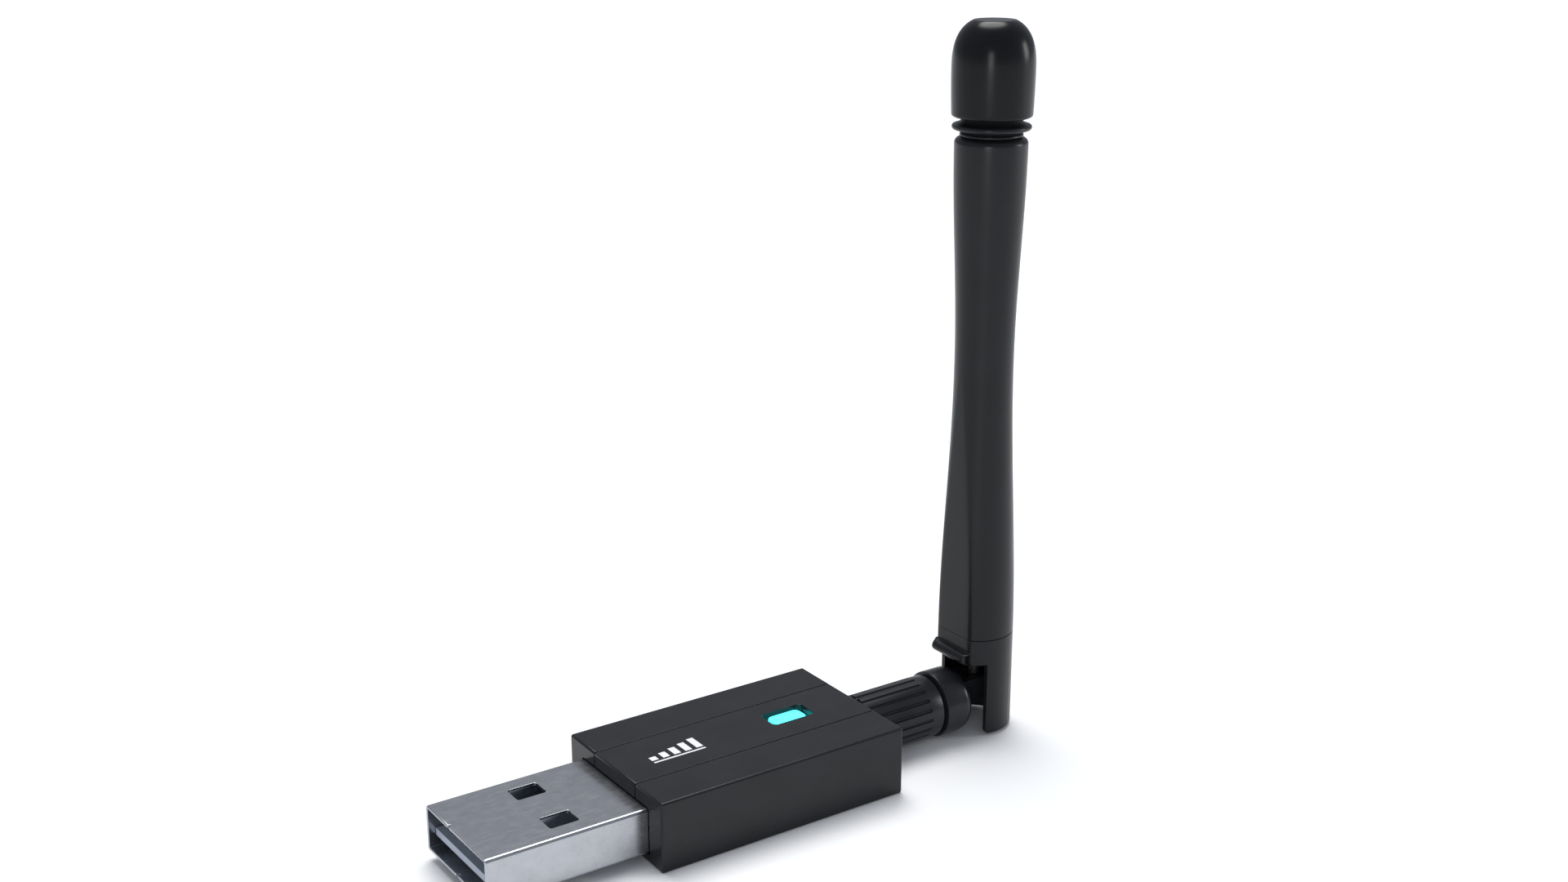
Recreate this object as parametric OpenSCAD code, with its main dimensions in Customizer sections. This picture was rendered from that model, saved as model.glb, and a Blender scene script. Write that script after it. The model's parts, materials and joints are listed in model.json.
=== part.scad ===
// USB wireless network adapter with a swivelling, tilting whip antenna.
// Frame: millimetres. The origin is on the resting surface, under the middle of the
// body's underside. +X runs from the USB plug towards the antenna, +Z is up.

/* [Body] */
// Length of the plastic body along X
body_l = 26.7; // [25:0.1:30]
// Width of the plastic body along Y
body_w = 16.7; // [15.5:0.1:20]
// Height of the plastic body
body_h = 6.9; // [6.7:0.1:8]
// Radius of the body's outer edges
edge_r = 0.25; // [0.15:0.05:0.5]
// Thickness of the long side walls
side_t = 0.9; // [0.7:0.1:1.2]
// Thickness of the front wall, the rear wall and the roof
wall_t = 1.2; // [1:0.1:1.5]
// Thickness of the snap-in base plate
base_t = 0.8; // [0.6:0.1:1]

/* [Centre strip] */
// Width of the strip let into the roof
strip_w = 7.3; // [6:0.1:8]
// Thickness of the strip
strip_t = 0.6; // [0.4:0.1:0.6]
// Width of the dark line on each side of the strip
strip_gap = 0.1; // [0.05:0.01:0.2]
// Place of the light window's centre along X
window_x = 5.9; // [3:0.1:7]
// Distance of the light window's centre from the body's middle, along Y
window_y = 0.3; // [0:0.1:0.4]
// Length of the recess around the light window
recess_l = 4.7; // [4:0.1:5]
// Width of the recess around the light window
recess_w = 2.6; // [2.2:0.1:3]
// Length of the light window
window_l = 3.6; // [2:0.1:3.6]
// Width of the light window
window_w = 2; // [1.3:0.1:2]
// Depth of the light window below the strip's top
window_sink = 0.3; // [0.1:0.05:0.45]

/* [USB plug] */
// Width of the plug's shell
plug_w = 12.0; // [11.9:0.05:12.1]
// Height of the plug's shell
plug_h = 4.5; // [4.4:0.05:4.6]
// Thickness of the shell's sheet
plug_t = 0.3; // [0.28:0.01:0.32]
// Length of shell standing out of the body
plug_out = 15.9; // [15:0.1:16.2]
// Full length of the shell
plug_l = 18.8; // [18.7:0.05:18.9]
// Height of the plug's centre above the resting surface
plug_z = 3.15; // [3:0.05:3.3]

/* [Antenna barrel and swivel] */
// Height of the swivel axis above the resting surface
axis_z = 3.43; // [3.4:0.01:3.5]
// Radius of the fluted barrel
barrel_r = 3.15; // [3:0.05:3.2]
// Number of flutes around the barrel
flutes = 20; // [16:1:24]
// Radius of the swivel collar
collar_r = 3.36; // [3.26:0.02:3.38]
// Radius of the swivel collar's hollow stem
stem_r = 1.25; // [1.2:0.05:1.4]
// Running clearance between the stem and the barrel's bore
stem_fit = 0.05; // [0.02:0.01:0.1]

/* [Antenna mast] */
// Distance of the mast's axis from the body's rear face
mast_reach = 15.65; // [15.5:0.05:16]
// Height of the top of the mast when it stands upright
mast_top = 71.3; // [70.5:0.1:75]
// Radius of the mast at its waist
waist_r = 2.89; // [2.8:0.01:3]
// Radius of the mast at its foot
foot_r = 3.85; // [3.8:0.01:3.9]
// Largest radius of the rounded tip
tip_r = 3.95; // [3.86:0.01:4]
// Radius of the flat disc on top of the rounded tip
top_disc_r = 2; // [1:0.1:2.5]
// Distance of the tilt pin from the mast's axis
pin_offset = 1.2; // [1:0.05:1.3]
// Height of the tilt pin above the resting surface
pin_z = 3.6; // [3.5:0.05:3.7]
// Radius of the tilt pins
pin_r = 0.5; // [0.4:0.05:0.6]

/* [Hidden] */
$fn = 64;
// Overlap of shapes that join
eps = 0.01;
// How far a cutting shape reaches past what it cuts
past = 1;
copper_colour = "goldenrod";
plastic_colour = [0.18, 0.18, 0.19];

// Body
front_x = -body_l / 2;
rear_x = body_l / 2;
inner_front_x = front_x + wall_t;
inner_rear_x = rear_x - wall_t;
inner_w = body_w - 2 * side_t;
ceiling_z = body_h - wall_t;
base_gap = 0.05;
hook_x = 7;
hook_l = 3;
hook_t = 0.5;
hook_h = 2.2;
bead_r = 0.25;
bead_z = 1.7;
recess_corner_r = 0.5;

// Circuit board
board_t = 0.8;
board_z = 2.0;
board_top = board_z + board_t;
board_front_x = -10.0;
board_rear_x = 9.6;
board_w = 13.4;
board_nose_w = 10.6;
board_nose_x = -8.2;
post_x = 6.2;
post_y = 5.9;
post_w = 1.0;
solder_lift = 0.02;

// Plug
plug_tip_x = front_x - plug_out;
shell_rear_x = plug_tip_x + plug_l;
plug_floor_z = plug_z - plug_h / 2;
plug_edge_r = 0.35;
hole_from_tip = 8.6;
hole_l = 2.9;
hole_w = 2.2;
hole_y = 3.1;
hole_edge_r = 0.25;
insulator_tip_x = plug_tip_x + 0.7;
insulator_gap = 0.1;
insulator_w = plug_w - 2 * plug_t - 2 * insulator_gap;
insulator_top = plug_floor_z + 2.15;
insulator_t = 1.7;
tongue_t = 0.7;
tongue_l = 9;
contact_ys = [-3.5, -1, 1, 3.5];
insulator_rear_x = shell_rear_x - 0.3;
contact_w = 1.0;
contact_t = 0.2;
contact_rear_x = shell_rear_x + 1.2;

// Barrel and swivel
neck_r = 1.7;
flange_r = 2.2;
flange_t = 0.95;
barrel_end_x = rear_x + 9.65;
flute_start_x = rear_x + 0.6;
flute_end_x = rear_x + 7.9;
flute_r = 0.2;
root_r = 2.8;
groove_l = 0.3;
bore_r = stem_r + stem_fit;
collar_front_x = barrel_end_x + 0.1;
collar_end_x = collar_front_x + 3.43;
collar_edge_r = 1.1;
stem_start_x = inner_rear_x - 2.3;
clip_x = inner_rear_x - flange_t - 0.4;
clip_t = 0.3;
clip_groove_r = 0.95;
clip_r = 1.9;
ring_x = barrel_end_x - 3;
ring_r = 0.3;
ring_centre_r = stem_r + 0.12;
clip_gap = 0.05;
coax_r = 0.55;
coax_bore_r = 0.65;

// Hinge
mast_x = rear_x + mast_reach;
pin_x = mast_x + pin_offset;
tongue_w = 3.3;
tongue_low = 2.95;
tongue_high = 5.6;
tongue_top_x = mast_x + 0.6;
tongue_top_r = 1;
tongue_root = 0.5;
knuckle_r = 1.4;
cheek_slot_w = 1.3;
cheek_slot_x = mast_x - 1.3;
pin_fit = 0.03;
press_gap = 0.01;
pin_outer_y = 3.45;
boss_r = 1.3;
boss_gap = 0.1;
foot_z = 0.2;
foot_edge_r = 0.3;
ear_front = 1.3;
ear_corner_r = 0.6;
fork_slot_w = 6.3;
slot_round_r = 3.25;
slot_back = 2.9;
slot_roof_z = 7.9;
fork_top_z = 10.5;
spigot_l = 4.5;
lip_r = 0.55;
lip_w = 5.6;
lip_z = 8.45;
lip_reach = 0.35;

// Mast
sleeve_bore_r = 2.2;
spigot_r = 2.15;
sleeve_top_z = 60.5;
waist_z = 38.9;
lower_flare_l = 29;
lower_flare = 0.93;
upper_start_z = 39.1;
upper_flare_l = 21.3;
upper_flare = 0.615;
cap_low_z = 62.38;
dome_z = 66.8;
dome_power = 2.6;
shoulder_r = 0.6;
sleeve_edge_z = sleeve_top_z - shoulder_r;
cap_low_r = 3.85;
feed_z = 33;
ground_low_z = 16;

// ---- Shapes that several parts share ----

// Rectangle with round corners, centred, made of squares and circles
module round_rect(l, w, r) {
    square([l - 2 * r, w], center = true);
    square([l, w - 2 * r], center = true);
    for (x = [-1, 1], y = [-1, 1])
        translate([x * (l / 2 - r), y * (w / 2 - r)])
            circle(r);
}

// Box from its lowest corner to its highest corner
module box(low, high) {
    translate(low)
        cube(high - low);
}

// Turns a shape drawn about Z so that it lies along +X on the swivel axis
module along_swivel(x) {
    translate([x, 0, axis_z])
        rotate([0, 90, 0])
            children();
}

// Rod along X on the swivel axis
module swivel_rod(x_from, x_to, r) {
    along_swivel(x_from)
        cylinder(h = x_to - x_from, r = r);
}

// Rod along Y, centred on y = 0
module cross_rod(x, z, r, length) {
    translate([x, 0, z])
        rotate([90, 0, 0])
            cylinder(h = length, r = r, center = true);
}

// Upright rod on the mast's axis
module mast_rod(z_from, z_to, r) {
    translate([mast_x, 0, z_from])
        cylinder(h = z_to - z_from, r = r);
}

// Small component standing on the board: place of its centre, then length, width and height
module chip_part(x, y, l, w, h) {
    translate([x - l / 2, y - w / 2, board_top + solder_lift])
        cube([l, w, h]);
}

// ---- Body ----

module body_block() {
    intersection() {
        linear_extrude(body_h)
            round_rect(body_l, body_w, edge_r);
        translate([0, body_w / 2, body_h / 2])
            rotate([90, 0, 0])
                linear_extrude(body_w)
                    round_rect(body_l, body_h, edge_r);
        translate([front_x, 0, body_h / 2])
            rotate([90, 0, 90])
                linear_extrude(body_l)
                    round_rect(body_w, body_h, edge_r);
    }
}

// The channel for the centre strip: along the roof and down the front face
module strip_channel(w, sink) {
    box([front_x - eps, -w / 2, body_h - sink], [rear_x + eps, w / 2, body_h + eps]);
    box([front_x - eps, -w / 2, plug_z], [front_x + sink, w / 2, body_h + eps]);
}

module snap_beads(r, l) {
    for (x = [-hook_x, hook_x], side = [-1, 1])
        translate([x, side * (inner_w / 2 - base_gap), bead_z])
            rotate([0, 90, 0])
                cylinder(h = l, r = r, center = true);
}

// Prism along X at the plug's height
module plug_prism(x, l, w, h, r) {
    translate([x, 0, plug_z])
        rotate([90, 0, 90])
            linear_extrude(l)
                round_rect(w, h, r);
}

module upper_housing() {
    mouth_gap = 0.2;
    light_hole_gap = 0.1;
    color(plastic_colour)
        difference() {
            body_block();
            box([inner_front_x, -inner_w / 2, -eps], [inner_rear_x, inner_w / 2, ceiling_z]);
            strip_channel(strip_w + 2 * strip_gap, strip_t);
            plug_prism(front_x - eps, plug_l, plug_w + mouth_gap, plug_h + mouth_gap, plug_edge_r);
            swivel_rod(inner_rear_x - eps, rear_x + eps, neck_r + base_gap);
            box([inner_rear_x - eps, -neck_r - base_gap, -eps], [rear_x + eps, neck_r + base_gap, axis_z]);
            translate([window_x, window_y, ceiling_z - eps])
                linear_extrude(wall_t)
                    round_rect(recess_l + light_hole_gap, recess_w + light_hole_gap, recess_corner_r);
            snap_beads(bead_r + base_gap, hook_l + 2 * base_gap);
        }
    color(plastic_colour)
        for (x = [-post_x, post_x], y = [-post_y, post_y])
            box([x - post_w / 2, y - post_w / 2, board_top], [x + post_w / 2, y + post_w / 2, ceiling_z]);
}

module base_plate() {
    plate_w = inner_w - 2 * base_gap;
    saddle_w = 2 * neck_r;
    color(plastic_colour) {
        box([inner_front_x + base_gap, -plate_w / 2, 0], [inner_rear_x, plate_w / 2, base_t]);
        for (x = [-post_x, post_x], y = [-post_y, post_y])
            box([x - post_w / 2, y - post_w / 2, base_t - eps], [x + post_w / 2, y + post_w / 2, board_z]);
        for (x = [-hook_x, hook_x], side = [-1, 1])
            translate([x - hook_l / 2, side * (plate_w / 2 - hook_t / 2) - hook_t / 2, base_t - eps])
                cube([hook_l, hook_t, hook_h - base_t]);
        intersection() {
            snap_beads(bead_r, hook_l);
            box([-body_l, -body_w, 0], [body_l, body_w, board_z]);
        }
        difference() {
            box([inner_rear_x - eps, -saddle_w / 2, 0], [rear_x, saddle_w / 2, axis_z]);
            swivel_rod(inner_rear_x - past, rear_x + past, neck_r + base_gap);
        }
    }
}

module centre_strip() {
    front_leg_z = plug_z + plug_h / 2 + 0.1;
    color([0.2, 0.2, 0.21])
        difference() {
            intersection() {
                body_block();
                strip_channel(strip_w, strip_t);
                box([-body_l, -strip_w / 2, front_leg_z], [body_l, strip_w / 2, body_h]);
            }
            translate([window_x, window_y, body_h - wall_t])
                linear_extrude(2 * wall_t)
                    round_rect(recess_l, recess_w, recess_corner_r);
        }
}

module light_pipe() {
    window_edge_r = 0.6;
    foot_l = 1.8;
    foot_w = 1.2;
    foot_corner_r = 0.3;
    flange_gap = 0.05;
    flange_h = 0.3;
    led_gap = 0.9;
    color([0.2, 0.95, 0.9]) {
        translate([window_x, window_y, board_top + led_gap])
            linear_extrude(body_h - window_sink - board_top - led_gap)
                round_rect(foot_l, foot_w, foot_corner_r);
        translate([window_x, window_y, ceiling_z])
            linear_extrude(wall_t - window_sink)
                round_rect(window_l, window_w, window_edge_r);
        translate([window_x, window_y, ceiling_z])
            linear_extrude(flange_h)
                round_rect(recess_l - flange_gap, recess_w - flange_gap, recess_corner_r);
    }
}

// ---- USB plug ----

module plug_holes() {
    for (y = [-hole_y, hole_y])
        translate([plug_tip_x + hole_from_tip, y, plug_floor_z - past])
            linear_extrude(plug_h + 2 * past)
                round_rect(hole_l, hole_w, hole_edge_r);
}

module usb_shell() {
    tab_l = 1.6;
    tab_low = board_z;
    color([0.72, 0.73, 0.76])
        difference() {
            union() {
                plug_prism(plug_tip_x, plug_l, plug_w, plug_h, plug_edge_r);
                for (side = [-1, 1])
                    translate([0, side * (plug_w - plug_t) / 2, 0])
                        box([shell_rear_x - eps, -plug_t / 2, tab_low],
                            [shell_rear_x + tab_l, plug_t / 2, tab_low + plug_h / 2]);
            }
            plug_prism(plug_tip_x - past, plug_l + 2 * past,
                plug_w - 2 * plug_t, plug_h - 2 * plug_t, plug_edge_r - plug_t);
            plug_holes();
        }
}

module usb_insulator() {
    block_l = 6.5;
    floor_gap = 0.15;
    low = insulator_top - insulator_t;
    block_top = plug_floor_z + plug_h - plug_t - floor_gap;
    color([0.62, 0.66, 0.72])
        difference() {
            union() {
                box([insulator_tip_x, -insulator_w / 2, insulator_top - tongue_t],
                    [insulator_rear_x, insulator_w / 2, insulator_top]);
                box([insulator_tip_x + tongue_l, -insulator_w / 2, low],
                    [insulator_rear_x, insulator_w / 2, insulator_top]);
                box([shell_rear_x - block_l, -insulator_w / 2, low],
                    [insulator_rear_x, insulator_w / 2, block_top]);
            }
            contact_bars(base_gap);
        }
}

// The bars of the four contacts, grown by a gap to make their grooves
module contact_bars(gap) {
    tip_setback = 1.2;
    for (y = contact_ys)
        box([insulator_tip_x + tip_setback - gap, y - contact_w / 2 - gap, insulator_top - contact_t - gap],
            [contact_rear_x + gap, y + contact_w / 2 + gap, insulator_top + gap]);
}

module usb_contacts() {
    tail_l = 1.0;
    color(copper_colour) {
        contact_bars(0);
        for (y = contact_ys)
            box([contact_rear_x - tail_l, y - contact_w / 2, board_top + solder_lift],
                [contact_rear_x, y + contact_w / 2, insulator_top - eps]);
    }
}

// ---- Electronics ----

module circuit_board() {
    notch_gap = 1;
    notch_w = 0.3;
    color([0.05, 0.3, 0.15])
        difference() {
            union() {
                box([board_nose_x, -board_w / 2, board_z], [board_rear_x, board_w / 2, board_top]);
                box([board_front_x, -board_nose_w / 2, board_z],
                    [board_nose_x + eps, board_nose_w / 2, board_top]);
            }
            for (x = [-hook_x, hook_x], side = [-1, 1])
                translate([x, side * board_w / 2, board_z + board_t / 2])
                    cube([hook_l + notch_gap, notch_w, 2 * board_t], center = true);
        }
}

module wifi_chip() {
    color([0.08, 0.08, 0.09])
        chip_part(-1.6, 0, 5, 5, 0.85);
}

module crystal() {
    color("silver")
        chip_part(-1.6, 4.7, 3.2, 2.5, 0.7);
}

module voltage_regulator() {
    color([0.1, 0.1, 0.1])
        chip_part(-2.6, -4.5, 2.9, 1.6, 1.1);
}

module power_inductor() {
    color([0.3, 0.3, 0.32])
        chip_part(1.6, -4.5, 2.5, 2.0, 1.2);
}

module capacitors() {
    cap_l = 1.0;
    cap_w = 0.5;
    pair_step = 0.9;
    pairs = [[3.4, 2.6], [3.4, -2.6], [8.4, 4.2], [8.4, -4.2]];
    color([0.6, 0.5, 0.38])
        for (place = pairs, step = [0, pair_step])
            chip_part(place[0], place[1] + step, cap_l, cap_w, 0.5);
}

module resistors() {
    res_l = 1.0;
    res_w = 0.5;
    color([0.12, 0.12, 0.13])
        for (x = [-7.2, -5.8], y = [-2.4, 0, 2.4])
            chip_part(x, y, res_w, res_l, 0.35);
}

module status_led() {
    color([0.9, 0.95, 0.85])
        chip_part(window_x, window_y, 1.6, 0.8, 0.6);
}

// ---- Barrel and swivel ----

module antenna_barrel() {
    edge = 0.2;
    flange_back = inner_rear_x - flange_t;
    outline = [
        [bore_r, 0],
        [flange_r, 0],
        [flange_r, flange_t],
        [neck_r, flange_t],
        [neck_r, flange_t + wall_t],
        [root_r, flange_t + wall_t],
        [root_r, flute_start_x - flange_back - edge],
        [barrel_r, flute_start_x - flange_back],
        [barrel_r, barrel_end_x - groove_l - flange_back],
        [root_r, barrel_end_x - groove_l - flange_back],
        [root_r, barrel_end_x - flange_back],
        [bore_r, barrel_end_x - flange_back]
    ];
    color([0.15, 0.15, 0.16])
        difference() {
            along_swivel(flange_back)
                rotate_extrude()
                    polygon(outline);
            for (i = [0 : flutes - 1])
                translate([0, 0, axis_z])
                    rotate([i * 360 / flutes, 0, 0])
                        translate([flute_start_x - past, 0, barrel_r])
                            rotate([0, 90, 0])
                                cylinder(h = flute_end_x - flute_start_x + past, r = flute_r, $fn = 24);
        }
}

module coax_pigtail() {
    pigtail_l = 2.0;
    pigtail_r = 0.45;
    pad_half = 0.4;
    joint_x = stem_start_x - 0.2;
    pad_x = joint_x - pigtail_l;
    solder_z = board_top + solder_lift;
    color([0.85, 0.85, 0.8]) {
        swivel_rod(pad_x, joint_x, pigtail_r);
        box([pad_x - pad_half, -pad_half, solder_z], [pad_x + pad_half, pad_half, axis_z]);
    }
}

// Side view of the hinge tongue: a flat bar that ends in the knuckle around the pin
module tongue_outline() {
    fill_w = 2.2;
    fill_h = 1.2;
    translate([collar_end_x - tongue_root, tongue_low])
        square([tongue_top_x - collar_end_x + tongue_root, tongue_high - tongue_low]);
    translate([tongue_top_x, tongue_high - tongue_top_r])
        circle(tongue_top_r);
    translate([pin_x, pin_z])
        circle(knuckle_r);
    translate([tongue_top_x - tongue_top_r, pin_z - fill_h / 3])
        square([fill_w, fill_h]);
}

module swivel_collar() {
    lead = 0.12;
    back = collar_end_x - stem_start_x;
    front = collar_front_x - stem_start_x;
    clip_low = clip_x - clip_gap - stem_start_x;
    ring_at = ring_x - stem_start_x;
    color([0.16, 0.16, 0.17])
        difference() {
            union() {
                along_swivel(stem_start_x)
                    rotate_extrude()
                        difference() {
                            union() {
                                square([stem_r, back]);
                                translate([0, front])
                                    square([collar_r - lead, back - front - collar_edge_r]);
                                translate([0, front + lead])
                                    square([collar_r, back - front - collar_edge_r - lead]);
                                square([collar_r - collar_edge_r, back]);
                                translate([collar_r - collar_edge_r, back - collar_edge_r])
                                    circle(collar_edge_r);
                            }
                            translate([stem_r, -eps])
                                square([collar_r, front + eps]);
                            translate([clip_groove_r, clip_low])
                                square([stem_r, clip_t + 2 * clip_gap]);
                            translate([ring_centre_r, ring_at])
                                circle(ring_r, $fn = 32);
                        }
                translate([0, tongue_w / 2, 0])
                    rotate([90, 0, 0])
                        linear_extrude(tongue_w)
                            tongue_outline();
            }
            swivel_rod(stem_start_x - past, mast_x, coax_bore_r);
            box([cheek_slot_x, -cheek_slot_w / 2, 0], [pin_x + 2 * knuckle_r, cheek_slot_w / 2, body_h]);
            cross_rod(pin_x, pin_z, pin_r + pin_fit, tongue_w + 2 * past);
        }
}

module friction_ring() {
    squeeze = 0.01;
    seat_r = ring_centre_r - ring_r;
    color([0.3, 0.05, 0.05])
        along_swivel(ring_x)
            rotate_extrude()
                intersection() {
                    translate([ring_centre_r, 0])
                        circle(ring_r - squeeze, $fn = 32);
                    translate([seat_r, -ring_r])
                        square([bore_r - squeeze - seat_r, 2 * ring_r]);
                }
}

// Open ring, slid into the stem's groove from one side
module retaining_clip() {
    clip_bore_r = clip_groove_r + 0.02;
    opening = 1.6 * clip_groove_r;
    color("silver")
        along_swivel(clip_x)
            difference() {
                cylinder(h = clip_t, r = clip_r);
                translate([0, 0, -past])
                    cylinder(h = 2 * past, r = clip_bore_r);
                translate([0, -opening / 2, -past])
                    cube([2 * clip_r, opening, 2 * past]);
            }
}

module coax_swivel() {
    color([0.1, 0.1, 0.1])
        swivel_rod(stem_start_x, cheek_slot_x, coax_r);
}

// ---- Mast ----

// Radius of the mast's outline at a height: two soft flares away from a slim waist
function flare(t) = (1 - cos(180 * min(1, max(0, t)))) / 2;
function mast_radius(z) =
    waist_r
    + lower_flare * flare((waist_z - z) / lower_flare_l)
    + upper_flare * flare((z - upper_start_z) / upper_flare_l);

// Superellipse of the rounded tip: share of the full radius at a share of the full height,
// and the other way round
function dome_share(t) = pow(max(0, 1 - pow(t, dome_power)), 1 / dome_power);

// Everything on the -X side of the mast's flat front
module front_flat() {
    box([mast_x - 2 * foot_r, -foot_r, -past], [mast_x - waist_r, foot_r, waist_z]);
}

module fork_slot() {
    box([mast_x - 2 * foot_r, -fork_slot_w / 2, -past], [mast_x, fork_slot_w / 2, slot_roof_z]);
    intersection() {
        mast_rod(-past, slot_roof_z, slot_round_r);
        box([mast_x - past, -fork_slot_w / 2, -past], [mast_x + slot_back, fork_slot_w / 2, slot_roof_z]);
    }
}

// Clears the front of the fork below the lip, and rounds the ears' lower front corners
module ear_fronts() {
    ear_x = mast_x - ear_front;
    side_y = foot_r + past;
    box([mast_x - 2 * foot_r, -side_y, -past], [ear_x, side_y, slot_roof_z]);
    difference() {
        box([ear_x - past, -side_y, foot_z - past], [ear_x + ear_corner_r, side_y, foot_z + ear_corner_r]);
        cross_rod(ear_x + ear_corner_r, foot_z + ear_corner_r, ear_corner_r, 4 * foot_r);
    }
}

module fork_blank() {
    seam_r = mast_radius(fork_top_z);
    rise = 5;
    translate([mast_x, 0, 0])
        rotate_extrude($fn = 96)
            union() {
                polygon([
                    [0, foot_z + foot_edge_r],
                    [foot_r, foot_z + foot_edge_r],
                    [foot_r, fork_top_z - rise],
                    [seam_r, fork_top_z],
                    [spigot_r, fork_top_z],
                    [spigot_r, fork_top_z + spigot_l],
                    [0, fork_top_z + spigot_l]
                ]);
                translate([0, foot_z])
                    square([foot_r - foot_edge_r, 2 * foot_edge_r]);
                translate([foot_r - foot_edge_r, foot_z + foot_edge_r])
                    circle(foot_edge_r, $fn = 32);
            }
}

module lip() {
    x = mast_x - waist_r - lip_reach;
    cross_rod(x, lip_z, lip_r, lip_w - 2 * lip_r);
    for (side = [-1, 1])
        translate([x, side * (lip_w / 2 - lip_r), lip_z])
            sphere(lip_r, $fn = 32);
}

module fork() {
    lip_groove_r = 0.14;
    boss_y = tongue_w / 2 + boss_gap;
    boss_root = 0.1;
    color(plastic_colour)
        difference() {
            union() {
                difference() {
                    fork_blank();
                    fork_slot();
                    ear_fronts();
                    front_flat();
                    cross_rod(mast_x - waist_r, lip_z + lip_r + lip_groove_r, lip_groove_r, 2 * foot_r);
                }
                intersection() {
                    difference() {
                        cross_rod(pin_x, pin_z, boss_r, fork_slot_w + 2 * boss_root);
                        cross_rod(pin_x, pin_z, boss_r + past, 2 * boss_y);
                    }
                    mast_rod(foot_z, slot_roof_z, foot_r - boss_root);
                }
                lip();
            }
            cross_rod(pin_x, pin_z, pin_r + press_gap, 2 * (pin_outer_y + press_gap));
            mast_rod(slot_roof_z - past, fork_top_z + spigot_l + past, coax_bore_r);
        }
}

module hinge_pins() {
    inner_y = cheek_slot_w / 2 + 0.05;
    color([0.25, 0.25, 0.26])
        for (side = [0, 1])
            mirror([0, side, 0])
                translate([pin_x, inner_y, pin_z])
                    rotate([-90, 0, 0])
                        cylinder(h = pin_outer_y - inner_y, r = pin_r);
}

module mast_sleeve() {
    ring_step = 2;
    seam_gap = 0.04;
    low = fork_top_z + seam_gap;
    heights = [for (z = [low : ring_step : sleeve_edge_z]) z];
    color([0.15, 0.15, 0.16])
        difference() {
            translate([mast_x, 0, 0])
                rotate_extrude($fn = 96)
                    difference() {
                        union() {
                            polygon(concat(
                                [[0, low]],
                                [for (z = heights) [mast_radius(z), z]],
                                [[mast_radius(sleeve_edge_z), sleeve_edge_z], [0, sleeve_edge_z]]
                            ));
                            translate([0, sleeve_edge_z - past])
                                square([mast_radius(sleeve_edge_z) - shoulder_r, past + shoulder_r]);
                            translate([mast_radius(sleeve_edge_z) - shoulder_r, sleeve_edge_z])
                                circle(shoulder_r, $fn = 32);
                        }
                        square([sleeve_bore_r, mast_top]);
                    }
            front_flat();
        }
}

module neck_ring() {
    low = sleeve_top_z + 0.02;
    high = cap_low_z - 0.02;
    hub_r = 2.87;
    small_bead_r = 0.18;
    bead_sink = 0.03;
    small_bead_z = low + 0.2;
    disc_r = 3.78;
    disc_edge = 0.3;
    disc_z = 61.46;
    color([0.12, 0.12, 0.13])
        translate([mast_x, 0, 0])
            rotate_extrude($fn = 96)
                difference() {
                    union() {
                        translate([0, low])
                            square([hub_r, high - low]);
                        translate([hub_r - bead_sink, small_bead_z])
                            circle(small_bead_r, $fn = 32);
                        translate([0, disc_z - disc_edge])
                            square([disc_r - disc_edge, 2 * disc_edge]);
                        translate([disc_r - disc_edge, disc_z])
                            circle(disc_edge, $fn = 32);
                    }
                    translate([0, low - past])
                        square([sleeve_bore_r, high - low + 2 * past]);
                }
}

module tip_cap() {
    side_steps = 6;
    dome_steps = 16;
    top_share = dome_share(top_disc_r / tip_r);
    dome_h = (mast_top - dome_z) / top_share;
    plug_low = sleeve_top_z - 3;
    plug_wall = 0.8;
    hollow_r = 2.6;
    hollow_low = cap_low_z + 1;
    hollow_h = 4;
    edge = 0.25;
    side = [for (i = [0 : side_steps])
        [cap_low_r + (tip_r - cap_low_r) * sin(90 * i / side_steps),
         cap_low_z + edge + (dome_z - cap_low_z - edge) * i / side_steps]];
    dome = [for (i = [1 : dome_steps])
        let (t = top_share * sin(90 * i / dome_steps))
        [tip_r * dome_share(t), dome_z + dome_h * t]];
    color([0.14, 0.14, 0.15])
        translate([mast_x, 0, 0])
            rotate_extrude($fn = 96)
                difference() {
                    union() {
                        polygon(concat(
                            [[0, cap_low_z], [cap_low_r - edge, cap_low_z]],
                            side,
                            dome,
                            [[0, mast_top]]
                        ));
                        translate([0, plug_low])
                            square([spigot_r, cap_low_z - plug_low + eps]);
                    }
                    translate([0, plug_low - past])
                        square([spigot_r - plug_wall, hollow_low - plug_low + past + eps]);
                    translate([0, hollow_low])
                        square([hollow_r, hollow_h]);
                }
}

module coax_mast() {
    end_gap = 0.1;
    bend_r = mast_x - cheek_slot_x - end_gap;
    color([0.1, 0.1, 0.1]) {
        mast_rod(axis_z + bend_r, feed_z, coax_r);
        translate([mast_x - bend_r, 0, axis_z + bend_r])
            rotate([90, 0, 0])
                rotate([0, 0, -90])
                    rotate_extrude(angle = 90)
                        translate([bend_r, 0])
                            circle(coax_r);
    }
}

module ground_sleeve() {
    tube_r = 1.5;
    slip_gap = 0.02;
    color(copper_colour)
        difference() {
            mast_rod(ground_low_z, feed_z - past, tube_r);
            mast_rod(ground_low_z - past, feed_z, coax_r + slip_gap);
        }
}

module radiator_rod() {
    rod_r = 0.4;
    feed_gap = 0.02;
    rod_top_z = sleeve_top_z - 4;
    color([0.8, 0.45, 0.25])
        mast_rod(feed_z + feed_gap, rod_top_z, rod_r);
}

module centring_disc() {
    disc_t = 1.2;
    rod_hole_r = 0.42;
    disc_z = 46;
    color("white")
        difference() {
            mast_rod(disc_z, disc_z + disc_t, spigot_r);
            mast_rod(disc_z - past, disc_z + disc_t + past, rod_hole_r);
        }
}

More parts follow.
